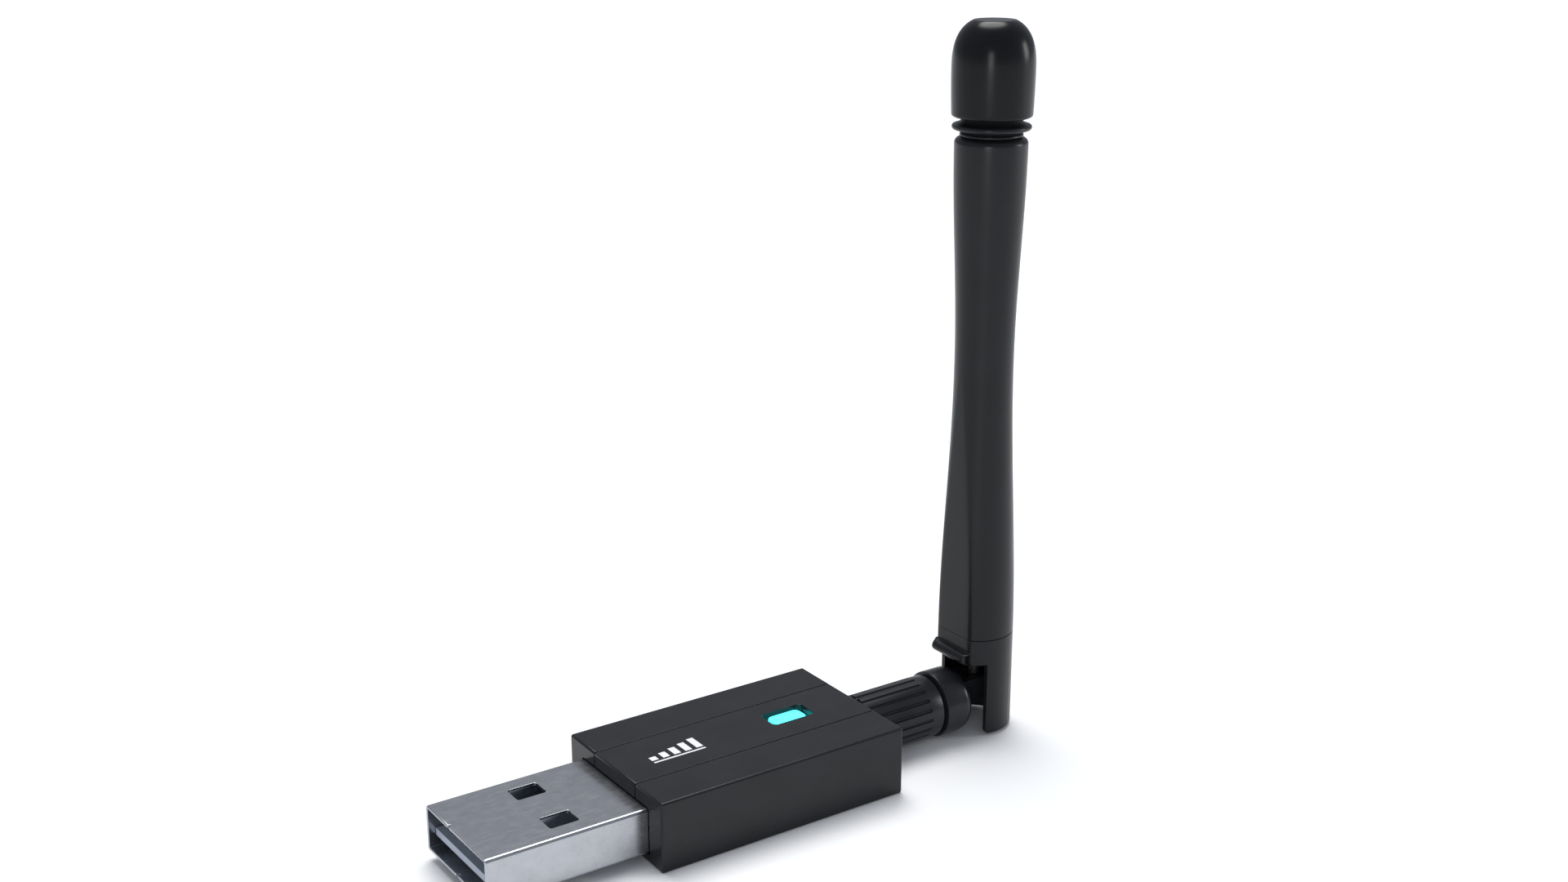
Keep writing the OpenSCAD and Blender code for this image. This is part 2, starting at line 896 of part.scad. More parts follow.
upper_housing();
base_plate();
centre_strip();
light_pipe();
usb_shell();
usb_insulator();
usb_contacts();
circuit_board();
wifi_chip();
crystal();
voltage_regulator();
power_inductor();
capacitors();
resistors();
status_led();
antenna_barrel();
coax_pigtail();
swivel_collar();
friction_ring();
retaining_clip();
coax_swivel();
fork();
hinge_pins();
mast_sleeve();
neck_ring();
tip_cap();
coax_mast();
ground_sleeve();
radiator_rod();
centring_disc();
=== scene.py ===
"""Looks of the USB wireless adapter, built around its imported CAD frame."""
import json
import math

import bmesh
import bpy
from mathutils import Matrix, Vector


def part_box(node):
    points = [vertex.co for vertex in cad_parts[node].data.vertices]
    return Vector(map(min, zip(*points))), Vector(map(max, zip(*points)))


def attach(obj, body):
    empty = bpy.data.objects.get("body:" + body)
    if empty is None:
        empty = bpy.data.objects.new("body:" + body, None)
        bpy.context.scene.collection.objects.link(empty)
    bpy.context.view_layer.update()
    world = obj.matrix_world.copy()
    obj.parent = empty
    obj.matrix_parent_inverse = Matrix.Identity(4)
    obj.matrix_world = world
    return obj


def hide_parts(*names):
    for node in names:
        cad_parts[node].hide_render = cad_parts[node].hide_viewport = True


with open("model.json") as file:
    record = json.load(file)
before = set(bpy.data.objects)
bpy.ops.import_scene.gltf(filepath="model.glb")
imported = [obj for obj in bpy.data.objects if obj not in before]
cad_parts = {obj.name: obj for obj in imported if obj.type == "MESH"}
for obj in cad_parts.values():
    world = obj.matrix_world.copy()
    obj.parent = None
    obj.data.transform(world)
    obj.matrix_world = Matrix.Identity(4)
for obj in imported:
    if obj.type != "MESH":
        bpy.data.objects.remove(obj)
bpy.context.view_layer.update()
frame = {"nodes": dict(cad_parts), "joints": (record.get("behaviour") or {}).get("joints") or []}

MM = 0.001
SEED_STEP = 7.3


# ---------------------------------------------------------------- places, in millimetres

def mm_box(node):
    """Lowest and highest corner of a CAD node, in millimetres."""
    low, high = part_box(node)
    return low / MM, high / MM


def joint_place(name):
    """Point on a joint's axis, in millimetres."""
    for joint in frame["joints"]:
        if joint["name"] == name:
            return Vector(joint["pos_m"]) / MM
    raise KeyError(name)


BODY_LOW, BODY_HIGH = mm_box("upper_housing")
STRIP_LOW, STRIP_HIGH = mm_box("centre_strip")
PLUG_LOW, PLUG_HIGH = mm_box("usb_shell")
INSULATOR_LOW, INSULATOR_HIGH = mm_box("usb_insulator")
CONTACT_LOW, CONTACT_HIGH = mm_box("usb_contacts")
BASE_LOW, BASE_HIGH = mm_box("base_plate")
PIPE_LOW, PIPE_HIGH = mm_box("light_pipe")
BARREL_LOW, BARREL_HIGH = mm_box("antenna_barrel")
COLLAR_LOW, COLLAR_HIGH = mm_box("swivel_collar")
FORK_LOW, FORK_HIGH = mm_box("fork")
SLEEVE_LOW, SLEEVE_HIGH = mm_box("mast_sleeve")
RING_LOW, RING_HIGH = mm_box("neck_ring")
CAP_LOW, CAP_HIGH = mm_box("tip_cap")
AXIS_Z = joint_place("antenna_swivel").z
PIN = joint_place("antenna_tilt")
MAST_X = (CAP_LOW.x + CAP_HIGH.x) / 2
PLUG_MID_Z = (PLUG_LOW.z + PLUG_HIGH.z) / 2


# ---------------------------------------------------------------- mesh helpers

def new_object(name, mesh):
    """Object in the scene that holds a mesh."""
    obj = bpy.data.objects.new(name, mesh)
    bpy.context.scene.collection.objects.link(obj)
    return obj


def from_bmesh(name, bm):
    bmesh.ops.recalc_face_normals(bm, faces=bm.faces)
    mesh = bpy.data.meshes.new(name)
    bm.to_mesh(mesh)
    bm.free()
    return new_object(name, mesh)


def block(name, low, high, radius=0.0, segments=4):
    """Closed box from corner to corner, with its edges rounded if a radius is given."""
    bm = bmesh.new()
    bmesh.ops.create_cube(bm, size=1)
    size = Vector(high) - Vector(low)
    middle = (Vector(high) + Vector(low)) / 2
    bmesh.ops.transform(bm, matrix=Matrix.Translation(middle) @ Matrix.Diagonal((*size, 1)), verts=bm.verts)
    if radius:
        bmesh.ops.bevel(bm, geom=bm.edges[:], offset=radius, segments=segments, profile=0.5, affect="EDGES")
    return from_bmesh(name, bm)


def bridge(bm, ring_a, ring_b):
    """Row of faces between two rings of equal length."""
    count = len(ring_a)
    for i in range(count):
        j = (i + 1) % count
        bm.faces.new((ring_a[i], ring_a[j], ring_b[j], ring_b[i]))


def loft(name, rings, closed=False):
    """Skin over rings of equal length. The ends are joined to each other if closed, else capped."""
    bm = bmesh.new()
    made = [[bm.verts.new(p) for p in ring] for ring in rings]
    for a, b in zip(made, made[1:]):
        bridge(bm, a, b)
    if closed:
        bridge(bm, made[-1], made[0])
    else:
        bm.faces.new(made[0])
        bm.faces.new(made[-1])
    return from_bmesh(name, bm)


def turn(count):
    """Angles spread evenly over a full turn, in radians."""
    return [2 * math.pi * i / count for i in range(count)]


def upright_ring(radius, z, angles):
    """Ring about the mast's axis. The radius is a number or a function of the angle."""
    ring = []
    for angle in angles:
        r = radius(angle) if callable(radius) else radius
        ring.append((MAST_X + r * math.cos(angle), r * math.sin(angle), z))
    return ring


def lying_ring(radius, x, angles):
    """Ring about the swivel axis. The radius is a number or a function of the angle."""
    ring = []
    for angle in angles:
        r = radius(angle) if callable(radius) else radius
        ring.append((x, r * math.cos(angle), AXIS_Z + r * math.sin(angle)))
    return ring


def cross_ring(x, y, z, radius, angles):
    """Ring about a line along Y."""
    return [(x + radius * math.cos(a), y, z + radius * math.sin(a)) for a in angles]


def arc(centre, radius, start, end, steps):
    """Points of an arc in an outline, angles in degrees."""
    points = []
    for i in range(steps + 1):
        angle = math.radians(start + (end - start) * i / steps)
        points.append((centre[0] + radius * math.cos(angle), centre[1] + radius * math.sin(angle)))
    return points


def revolve_upright(name, outline, segments=128):
    """Closed solid of revolution about the mast's axis, from (radius, z) points."""
    angles = turn(segments)
    return loft(name, [upright_ring(r, z, angles) for r, z in outline], closed=True)


def revolve_lying(name, outline, segments=128):
    """Closed solid of revolution about the swivel axis, from (radius, x) points."""
    angles = turn(segments)
    return loft(name, [lying_ring(r, x, angles) for r, x in outline], closed=True)


def rounded_loop(width, height, radius, steps=5):
    """Corner-rounded rectangle as a loop of (u, v) points about its middle."""
    loop = []
    corners = ((1, 1, 0), (-1, 1, 90), (-1, -1, 180), (1, -1, 270))
    for side_u, side_v, start in corners:
        centre = (side_u * (width / 2 - radius), side_v * (height / 2 - radius))
        loop += arc(centre, radius, start, start + 90, steps)
    return loop


def slug(name, loop, axis, start, end, middle):
    """Prism with a (u, v) outline, from start to end along the X, Y or Z axis."""
    rings = []
    for place in (start, end):
        ring = []
        for u, v in loop:
            point = [middle[0] + u, middle[1] + v]
            point.insert("XYZ".index(axis), place)
            ring.append(tuple(point))
        rings.append(ring)
    return loft(name, rings)


def rod(name, axis, middle, radius, start, end, segments=64):
    """Round bar along the X, Y or Z axis."""
    return slug(name, arc((0, 0), radius, 0, 360 - 360 / segments, segments - 1), axis, start, end, middle)


def apply_modifiers(obj):
    bpy.context.view_layer.update()
    graph = bpy.context.evaluated_depsgraph_get()
    mesh = bpy.data.meshes.new_from_object(obj.evaluated_get(graph))
    obj.modifiers.clear()
    obj.data = mesh


def combine(obj, others, operation):
    """Adds or cuts other solids, and removes them."""
    for other in others:
        modifier = obj.modifiers.new("boolean", "BOOLEAN")
        modifier.operation = operation
        modifier.solver = "EXACT"
        modifier.object = other
        apply_modifiers(obj)
        bpy.data.objects.remove(other)
    return obj


def cut(obj, *others):
    return combine(obj, others, "DIFFERENCE")


def add(obj, *others):
    return combine(obj, others, "UNION")


def keep_inside(obj, *others):
    return combine(obj, others, "INTERSECT")


DOUBLE_GAP = 0.002
FLAT_WITHIN = math.radians(0.5)


def tidy_mesh(obj):
    """Joins doubled points and straightens sliver faces that a cut leaves."""
    bm = bmesh.new()
    bm.from_mesh(obj.data)
    bmesh.ops.remove_doubles(bm, verts=bm.verts, dist=DOUBLE_GAP)
    bmesh.ops.dissolve_limit(bm, angle_limit=FLAT_WITHIN, verts=bm.verts, edges=bm.edges)
    bm.to_mesh(obj.data)
    bm.free()


def soften(obj, width, segments=2, angle=32):
    """Rounds every edge that is sharper than the angle."""
    tidy_mesh(obj)
    modifier = obj.modifiers.new("bevel", "BEVEL")
    modifier.width = width
    modifier.segments = segments
    modifier.limit_method = "ANGLE"
    modifier.angle_limit = math.radians(angle)
    modifier.miter_outer = "MITER_ARC"
    modifier.use_clamp_overlap = True
    apply_modifiers(obj)
    return obj


def flatten_normals(obj):
    """Keeps large flat faces flat in shading, so that only the rounded edges beside them bend."""
    modifier = obj.modifiers.new("weighted", "WEIGHTED_NORMAL")
    modifier.keep_sharp = True
    apply_modifiers(obj)


def merge(obj, others):
    """Joins the meshes of pieces that stay separate solids."""
    merged = bmesh.new()
    for part in (obj, *others):
        merged.from_mesh(part.data)
    merged.to_mesh(obj.data)
    merged.free()
    for other in others:
        bpy.data.objects.remove(other)
    return obj


def finish_piece(obj, body, material, replaces=(), smooth_angle=35, flat_faces=False):
    """Scales a piece from millimetres to metres, shades it and places it on its body."""
    obj.data.transform(Matrix.Scale(MM, 4))
    obj.data.polygons.foreach_set("use_smooth", [True] * len(obj.data.polygons))
    obj.data.set_sharp_from_angle(angle=math.radians(smooth_angle))
    if flat_faces:
        flatten_normals(obj)
    obj.data.materials.clear()
    obj.data.materials.append(material)
    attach(obj, body)
    if replaces:
        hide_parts(*replaces)
    return obj


# ---------------------------------------------------------------- material helpers

class Surface:
    """Node material with a Principled shader, and short calls for what the pieces share."""

    seed = 0.0

    def __init__(self, name, colour, roughness, metallic=0.0, specular=0.5):
        self.material = bpy.data.materials.new(name)
        self.material.use_nodes = True
        self.tree = self.material.node_tree
        self.shader = self.tree.nodes["Principled BSDF"]
        self.colour = (*colour, 1)
        self.shader.inputs["Base Color"].default_value = self.colour
        self.shader.inputs["Roughness"].default_value = roughness
        self.shader.inputs["Metallic"].default_value = metallic
        self.shader.inputs["Specular IOR Level"].default_value = specular
        self.material.diffuse_color = self.colour
        self.roughness = roughness
        self.height = None
        Surface.seed += SEED_STEP

    def node(self, kind):
        return self.tree.nodes.new(kind)

    def link(self, a, b):
        self.tree.links.new(a, b)

    def place(self, stretch=(1, 1, 1)):
        """Object coordinates, stretched along an axis for brushed or drawn marks."""
        coordinates = self.node("ShaderNodeTexCoord")
        mapping = self.node("ShaderNodeMapping")
        mapping.inputs["Scale"].default_value = stretch
        mapping.inputs["Location"].default_value = (Surface.seed, Surface.seed / 2, Surface.seed / 3)
        self.link(coordinates.outputs["Object"], mapping.inputs["Vector"])
        return mapping.outputs["Vector"]

    def noise(self, size_mm, detail=3.0, stretch=(1, 1, 1), roughness=0.55):
        """Noise whose blobs are about this many millimetres across."""
        texture = self.node("ShaderNodeTexNoise")
        texture.inputs["Scale"].default_value = 1 / (size_mm * MM)
        texture.inputs["Detail"].default_value = detail
        texture.inputs["Roughness"].default_value = roughness
        self.link(self.place(stretch), texture.inputs["Vector"])
        return texture.outputs["Fac"]

    def spread(self, value, low, high, from_low=0.3, from_high=0.7):
        """Maps a value from one range to another."""
        ranged = self.node("ShaderNodeMapRange")
        ranged.inputs["From Min"].default_value = from_low
        ranged.inputs["From Max"].default_value = from_high
        ranged.inputs["To Min"].default_value = low
        ranged.inputs["To Max"].default_value = high
        self.link(value, ranged.inputs["Value"])
        return ranged.outputs["Result"]

    def total(self, a, b, operation="ADD"):
        maths = self.node("ShaderNodeMath")
        maths.operation = operation
        self.link(a, maths.inputs[0])
        self.link(b, maths.inputs[1])
        return maths.outputs["Value"]

    def vary_roughness(self, *values):
        """Roughness as the sum of the material's own and some variations about zero."""
        result = values[0]
        for value in values[1:]:
            result = self.total(result, value)
        shifted = self.spread(result, self.roughness - 0.5, self.roughness + 0.5, -0.5, 0.5)
        self.link(shifted, self.shader.inputs["Roughness"])

    def vary_colour(self, value, other, low=0.0, high=1.0):
        """Moves the colour towards another one as the value rises from low to high."""
        mix = self.node("ShaderNodeMix")
        mix.data_type = "RGBA"
        mix.inputs["A"].default_value = self.colour
        mix.inputs["B"].default_value = (*other, 1)
        self.link(self.spread(value, 0, 1, low, high), mix.inputs["Factor"])
        self.link(mix.outputs["Result"], self.shader.inputs["Base Color"])

    def bump(self, value, depth_mm, strength=1.0):
        """Adds relief of this depth. Calls stack."""
        bump = self.node("ShaderNodeBump")
        bump.inputs["Strength"].default_value = strength
        bump.inputs["Distance"].default_value = depth_mm * MM
        self.link(value, bump.inputs["Height"])
        if self.height is not None:
            self.link(self.height, bump.inputs["Normal"])
        self.height = bump.outputs["Normal"]
        self.link(self.height, self.shader.inputs["Normal"])


# ---------------------------------------------------------------- materials

def moulded_plastic(name, colour, roughness, specular):
    """Satin moulded plastic: fine grain, faint rubbed patches and hairline scuffs."""
    surface = Surface(name, colour, roughness, specular=specular)
    grain = surface.noise(0.09, detail=2)
    patches = surface.noise(4.0, detail=4)
    scuffs = surface.noise(0.5, detail=5, stretch=(0.12, 1, 1))
    surface.vary_roughness(
        surface.spread(patches, -0.02, 0.03),
        surface.spread(scuffs, -0.01, 0.02),
    )
    surface.vary_colour(patches, [c * 1.25 for c in colour], 0.35, 0.75)
    surface.bump(grain, 0.002, 0.2)
    surface.bump(scuffs, 0.001, 0.08)
    return surface.material


def antenna_skin(name, colour, roughness, specular, drawn=(1, 1, 0.1)):
    """Semi-gloss black skin, drawn out a little along the piece, with soft handling marks."""
    surface = Surface(name, colour, roughness, specular=specular)
    pores = surface.noise(0.12, detail=2)
    drag = surface.noise(0.7, detail=4, stretch=drawn)
    handling = surface.noise(5.0, detail=3)
    surface.vary_roughness(
        surface.spread(drag, -0.015, 0.02),
        surface.spread(handling, -0.03, 0.04),
    )
    surface.vary_colour(handling, [c * 1.3 for c in colour], 0.35, 0.75)
    surface.bump(pores, 0.003, 0.2)
    surface.bump(handling, 0.01, 0.08)
    return surface.material


def sheet_steel(name, colour, roughness):
    """Nickel-plated sheet: rolling marks along its length, cloudy patches and small scratches."""
    surface = Surface(name, colour, roughness, metallic=1.0)
    rolling = surface.noise(0.12, detail=4, stretch=(0.06, 1, 1))
    clouds = surface.noise(1.3, detail=6, roughness=0.65)
    scratches = surface.noise(0.25, detail=5, stretch=(1, 0.1, 0.6))
    surface.vary_roughness(
        surface.spread(clouds, -0.03, 0.04),
        surface.spread(rolling, -0.02, 0.03),
    )
    surface.vary_colour(clouds, [c * 0.9 for c in colour], 0.35, 0.7)
    surface.bump(rolling, 0.001, 0.12)
    surface.bump(scratches, 0.001, 0.06)
    return surface.material


def plain_resin(name, colour, roughness, grain_mm=0.08, specular=0.5):
    """Small moulded or cast piece with a fine grain and slight mottling."""
    surface = Surface(name, colour, roughness, specular=specular)
    grain = surface.noise(grain_mm, detail=3)
    surface.vary_roughness(surface.spread(grain, -0.05, 0.05))
    surface.vary_colour(grain, [c * 0.75 for c in colour], 0.4, 0.7)
    surface.bump(grain, 0.004, 0.3)
    return surface.material


def small_metal(name, colour, roughness):
    """Small plated or drawn metal piece."""
    surface = Surface(name, colour, roughness, metallic=1.0)
    drawn = surface.noise(0.1, detail=4, stretch=(0.2, 1, 1))
    surface.vary_roughness(surface.spread(drawn, -0.06, 0.08))
    surface.vary_colour(drawn, [c * 0.75 for c in colour], 0.4, 0.75)
    surface.bump(drawn, 0.002, 0.25)
    return surface.material


def lit_window(name, colour, glow):
    """Clear cyan light pipe with the LED's light in it, a little brighter in cloudy spots."""
    surface = Surface(name, colour, 0.25)
    cloud = surface.noise(0.8, detail=2)
    surface.shader.inputs["Emission Color"].default_value = (*colour, 1)
    strength = surface.spread(cloud, glow * 0.94, glow * 1.05)
    surface.link(strength, surface.shader.inputs["Emission Strength"])
    surface.bump(cloud, 0.01, 0.1)
    return surface.material


MASK_GREEN = (0.015, 0.11, 0.05)
TRACE_GREEN = (0.03, 0.2, 0.08)
TRACES_PER_M = 900


def board_laminate(name):
    """Solder mask with a grid of traces under it."""
    surface = Surface(name, MASK_GREEN, 0.3)
    traces = surface.node("ShaderNodeTexBrick")
    traces.inputs["Scale"].default_value = TRACES_PER_M
    surface.link(surface.place(), traces.inputs["Vector"])
    weave = surface.noise(0.1, detail=2)
    surface.vary_colour(traces.outputs["Fac"], TRACE_GREEN)
    surface.vary_roughness(surface.spread(weave, -0.05, 0.05))
    surface.bump(traces.outputs["Fac"], 0.01, 0.3)
    return surface.material


BODY_PLASTIC = moulded_plastic("body_plastic", (0.0115, 0.012, 0.0138), 0.22, 0.26)
STRIP_PLASTIC = moulded_plastic("strip_plastic", (0.012, 0.0125, 0.0143), 0.22, 0.26)
ANTENNA_SKIN = antenna_skin("antenna_skin", (0.0095, 0.010, 0.0118), 0.3, 0.22)
CAP_SKIN = antenna_skin("cap_skin", (0.0055, 0.006, 0.007), 0.24, 0.17)
HINGE_PLASTIC = antenna_skin("hinge_plastic", (0.0115, 0.012, 0.0145), 0.28, 0.26, drawn=(0.1, 1, 1))
PLUG_STEEL = sheet_steel("plug_steel", (0.45, 0.46, 0.49), 0.24)
INSULATOR = plain_resin("insulator_plastic", (0.4, 0.45, 0.54), 0.45)
GOLD = small_metal("contact_gold", (0.83, 0.58, 0.2), 0.28)
BRIGHT_STEEL = small_metal("bright_steel", (0.6, 0.6, 0.62), 0.3)
DARK_STEEL = small_metal("dark_steel", (0.06, 0.06, 0.065), 0.35)
COPPER = small_metal("copper_wire", (0.72, 0.32, 0.16), 0.3)
LIGHT = lit_window("light_pipe", (0.075, 0.9, 0.91), 1.25)
PRINT_WHITE = plain_resin("print_ink", (0.78, 0.79, 0.82), 0.5, grain_mm=0.05)
BOARD = board_laminate("board_laminate")
CHIP_RESIN = plain_resin("chip_resin", (0.02, 0.02, 0.022), 0.5)
FERRITE = plain_resin("ferrite", (0.05, 0.05, 0.055), 0.6)
CERAMIC = plain_resin("capacitor_ceramic", (0.42, 0.3, 0.17), 0.45)
LED_RESIN = plain_resin("led_resin", (0.8, 0.85, 0.7), 0.3)
COAX_JACKET = plain_resin("coax_jacket", (0.015, 0.015, 0.016), 0.5)
RING_RUBBER = plain_resin("ring_rubber", (0.12, 0.02, 0.015), 0.6)
WHITE_PLASTIC = plain_resin("white_plastic", (0.75, 0.75, 0.72), 0.45)


# ---------------------------------------------------------------- body

BODY_EDGE = 0.25
BODY_EDGE_STEPS = 6
CUT_EDGE = 0.05
SIDE_WALL = 0.9
END_WALL = 1.2
BASE_T = 0.8
STRIP_DEPTH = 0.6
LINE_GAP = 0.1
MOUTH_GAP = 0.1
MOUTH_EDGE = 0.35
NECK_HOLE_R = 1.75
SADDLE_HALF = 1.7
PAST = 1.0

PIPE_MID = (PIPE_LOW + PIPE_HIGH) / 2
FLANGE_GAP = 0.05
FLANGE_T = 0.3
RECESS_L = PIPE_HIGH.x - PIPE_LOW.x + FLANGE_GAP
RECESS_W = PIPE_HIGH.y - PIPE_LOW.y + FLANGE_GAP
RECESS_EDGE = 0.5
WINDOW_L = 3.6
WINDOW_W = 2.0
WINDOW_EDGE = 0.6
WINDOW_CROWN = 0.12
STALK_L = 1.8
STALK_W = 1.2
STALK_EDGE = 0.3
STALK_SINK = 0.5


def recess():
    """Cutter of the recess around the light window, through the roof."""
    return slug(
        "recess", rounded_loop(RECESS_L, RECESS_W, RECESS_EDGE),
        "Z", BODY_HIGH.z - 2 * END_WALL, BODY_HIGH.z + PAST, (PIPE_MID.x, PIPE_MID.y),
    )


def housing():
    """Cover of the body: hollow from below, with channels for the strip and openings at both ends."""
    body = block("housing_shell", BODY_LOW, BODY_HIGH, BODY_EDGE, BODY_EDGE_STEPS)
    cavity = block(
        "cavity",
        (BODY_LOW.x + END_WALL, BODY_LOW.y + SIDE_WALL, BODY_LOW.z - PAST),
        (BODY_HIGH.x - END_WALL, BODY_HIGH.y - SIDE_WALL, BODY_HIGH.z - END_WALL),
    )
    half = STRIP_HIGH.y + LINE_GAP
    roof_channel = block(
        "roof_channel",
        (BODY_LOW.x - PAST, -half, BODY_HIGH.z - STRIP_DEPTH),
        (BODY_HIGH.x + PAST, half, BODY_HIGH.z + PAST),
    )
    front_channel = block(
        "front_channel",
        (BODY_LOW.x - PAST, -half, PLUG_MID_Z),
        (BODY_LOW.x + STRIP_DEPTH, half, BODY_HIGH.z + PAST),
    )
    mouth_w = 2 * (PLUG_HIGH.y + MOUTH_GAP)
    mouth_h = PLUG_HIGH.z - PLUG_LOW.z + 2 * MOUTH_GAP
    mouth = slug(
        "mouth", rounded_loop(mouth_w, mouth_h, MOUTH_EDGE),
        "X", BODY_LOW.x - PAST, BODY_LOW.x + 2 * END_WALL, (0, PLUG_MID_Z),
    )
    hole = rod("hole", "X", (0, AXIS_Z), NECK_HOLE_R, BODY_HIGH.x - 2 * END_WALL, BODY_HIGH.x + PAST)
    slot = block(
        "slot",
        (BODY_HIGH.x - 2 * END_WALL, -NECK_HOLE_R, -PAST),
        (BODY_HIGH.x + PAST, NECK_HOLE_R, AXIS_Z),
    )
    cut(body, cavity, roof_channel, front_channel, mouth, hole, slot, recess())
    soften(body, CUT_EDGE)
    return finish_piece(body, "adapter", BODY_PLASTIC, ["upper_housing"], flat_faces=True)


def strip():
    """Inlay along the roof and down the front, cut from the body's own rounded block."""
    body = block("strip_inlay", BODY_LOW, BODY_HIGH, BODY_EDGE, BODY_EDGE_STEPS)
    inner = block(
        "inner",
        (BODY_LOW.x + STRIP_DEPTH, BODY_LOW.y - PAST, BODY_LOW.z - PAST),
        (BODY_HIGH.x + PAST, BODY_HIGH.y + PAST, BODY_HIGH.z - STRIP_DEPTH),
    )
    keep = block(
        "keep",
        (BODY_LOW.x - PAST, STRIP_LOW.y, STRIP_LOW.z),
        (BODY_HIGH.x + PAST, STRIP_HIGH.y, BODY_HIGH.z + PAST),
    )
    cut(body, inner)
    keep_inside(body, keep)
    cut(body, recess())
    soften(body, CUT_EDGE)
    return finish_piece(body, "adapter", STRIP_PLASTIC, ["centre_strip"], flat_faces=True)


def base():
    """Plate under the board, with the saddle that carries the barrel's neck."""
    plate = block("base_cover", BASE_LOW, (BASE_HIGH.x - END_WALL, BASE_HIGH.y, BASE_LOW.z + BASE_T))
    saddle = block(
        "saddle",
        (BASE_HIGH.x - END_WALL - FLANGE_GAP, -SADDLE_HALF, BASE_LOW.z),
        (BASE_HIGH.x, SADDLE_HALF, AXIS_Z),
    )
    cut(saddle, rod("neck", "X", (0, AXIS_Z), NECK_HOLE_R, BASE_HIGH.x - 2 * END_WALL, BASE_HIGH.x + PAST))
    add(plate, saddle)
    soften(plate, CUT_EDGE)
    return finish_piece(plate, "adapter", BODY_PLASTIC, ["base_plate"], flat_faces=True)


def window():
    """Light pipe: a crowned window on a flange that fills the bottom of the recess."""
    top = PIPE_HIGH.z
    flange_low = BODY_HIGH.z - END_WALL
    steps = 4
    levels = [(0.0, flange_low)]
    for step in range(steps + 1):
        angle = math.radians(90 * step / steps)
        inset = WINDOW_CROWN * (1 - math.cos(angle))
        levels.append((inset, top - WINDOW_CROWN * (1 - math.sin(angle))))
    rings = []
    for inset, z in levels:
        loop = rounded_loop(WINDOW_L - 2 * inset, WINDOW_W - 2 * inset, WINDOW_EDGE - inset)
        rings.append([(PIPE_MID.x + u, PIPE_MID.y + v, z) for u, v in loop])
    pipe = loft("light_window", rings)
    middle = (PIPE_MID.x, PIPE_MID.y)
    flange_loop = rounded_loop(RECESS_L - FLANGE_GAP, RECESS_W - FLANGE_GAP, RECESS_EDGE)
    flange = slug("flange", flange_loop, "Z", flange_low, flange_low + FLANGE_T, middle)
    stalk_loop = rounded_loop(STALK_L, STALK_W, STALK_EDGE)
    stalk = slug("stalk", stalk_loop, "Z", PIPE_LOW.z, top - STALK_SINK, middle)
    add(pipe, flange, stalk)
    return finish_piece(pipe, "adapter", LIGHT, ["light_pipe"])


MARK_BARS = 5
MARK_PITCH = 1.2
MARK_BAR_W = 0.7
MARK_START_X = -9.8
MARK_BASE_Y = -0.8
MARK_FIRST = 0.7
MARK_STEP = 0.32
RULE_LOW = 0.5
RULE_HIGH = 0.28
INK = 0.012


def mark():
    """Plain row of bars of rising height over a thin rule, printed on the strip."""
    low = BODY_HIGH.z - INK / 2
    high = BODY_HIGH.z + INK
    rule_end = MARK_START_X + MARK_PITCH * (MARK_BARS - 1) + MARK_BAR_W
    rule = block(
        "printed_bars",
        (MARK_START_X, MARK_BASE_Y - RULE_LOW, low),
        (rule_end, MARK_BASE_Y - RULE_HIGH, high),
    )
    bars = []
    for i in range(MARK_BARS):
        x = MARK_START_X + i * MARK_PITCH
        bar_end = MARK_BASE_Y + MARK_FIRST + MARK_STEP * i
        bars.append(block("bar", (x, MARK_BASE_Y, low), (x + MARK_BAR_W, bar_end, high)))
    merge(rule, bars)
    return finish_piece(rule, "adapter", PRINT_WHITE)


# ---------------------------------------------------------------- USB plug

SHEET = 0.3
SHELL_EDGE = 0.35
SHELL_INNER_EDGE = 0.12
SHELL_LENGTH = 18.8
HOLE_X = PLUG_LOW.x + 8.6
HOLE_Y = 3.1
HOLE_L = 2.9
HOLE_W = 2.2
HOLE_EDGE = 0.25
LIP_ROUND = 0.12
NOTCH_Y = 1.3
NOTCH_HALF = 0.14
NOTCH_DEPTH = 0.35
SEAM_HALF = 0.03
SHELL_CUT_EDGE = 0.03


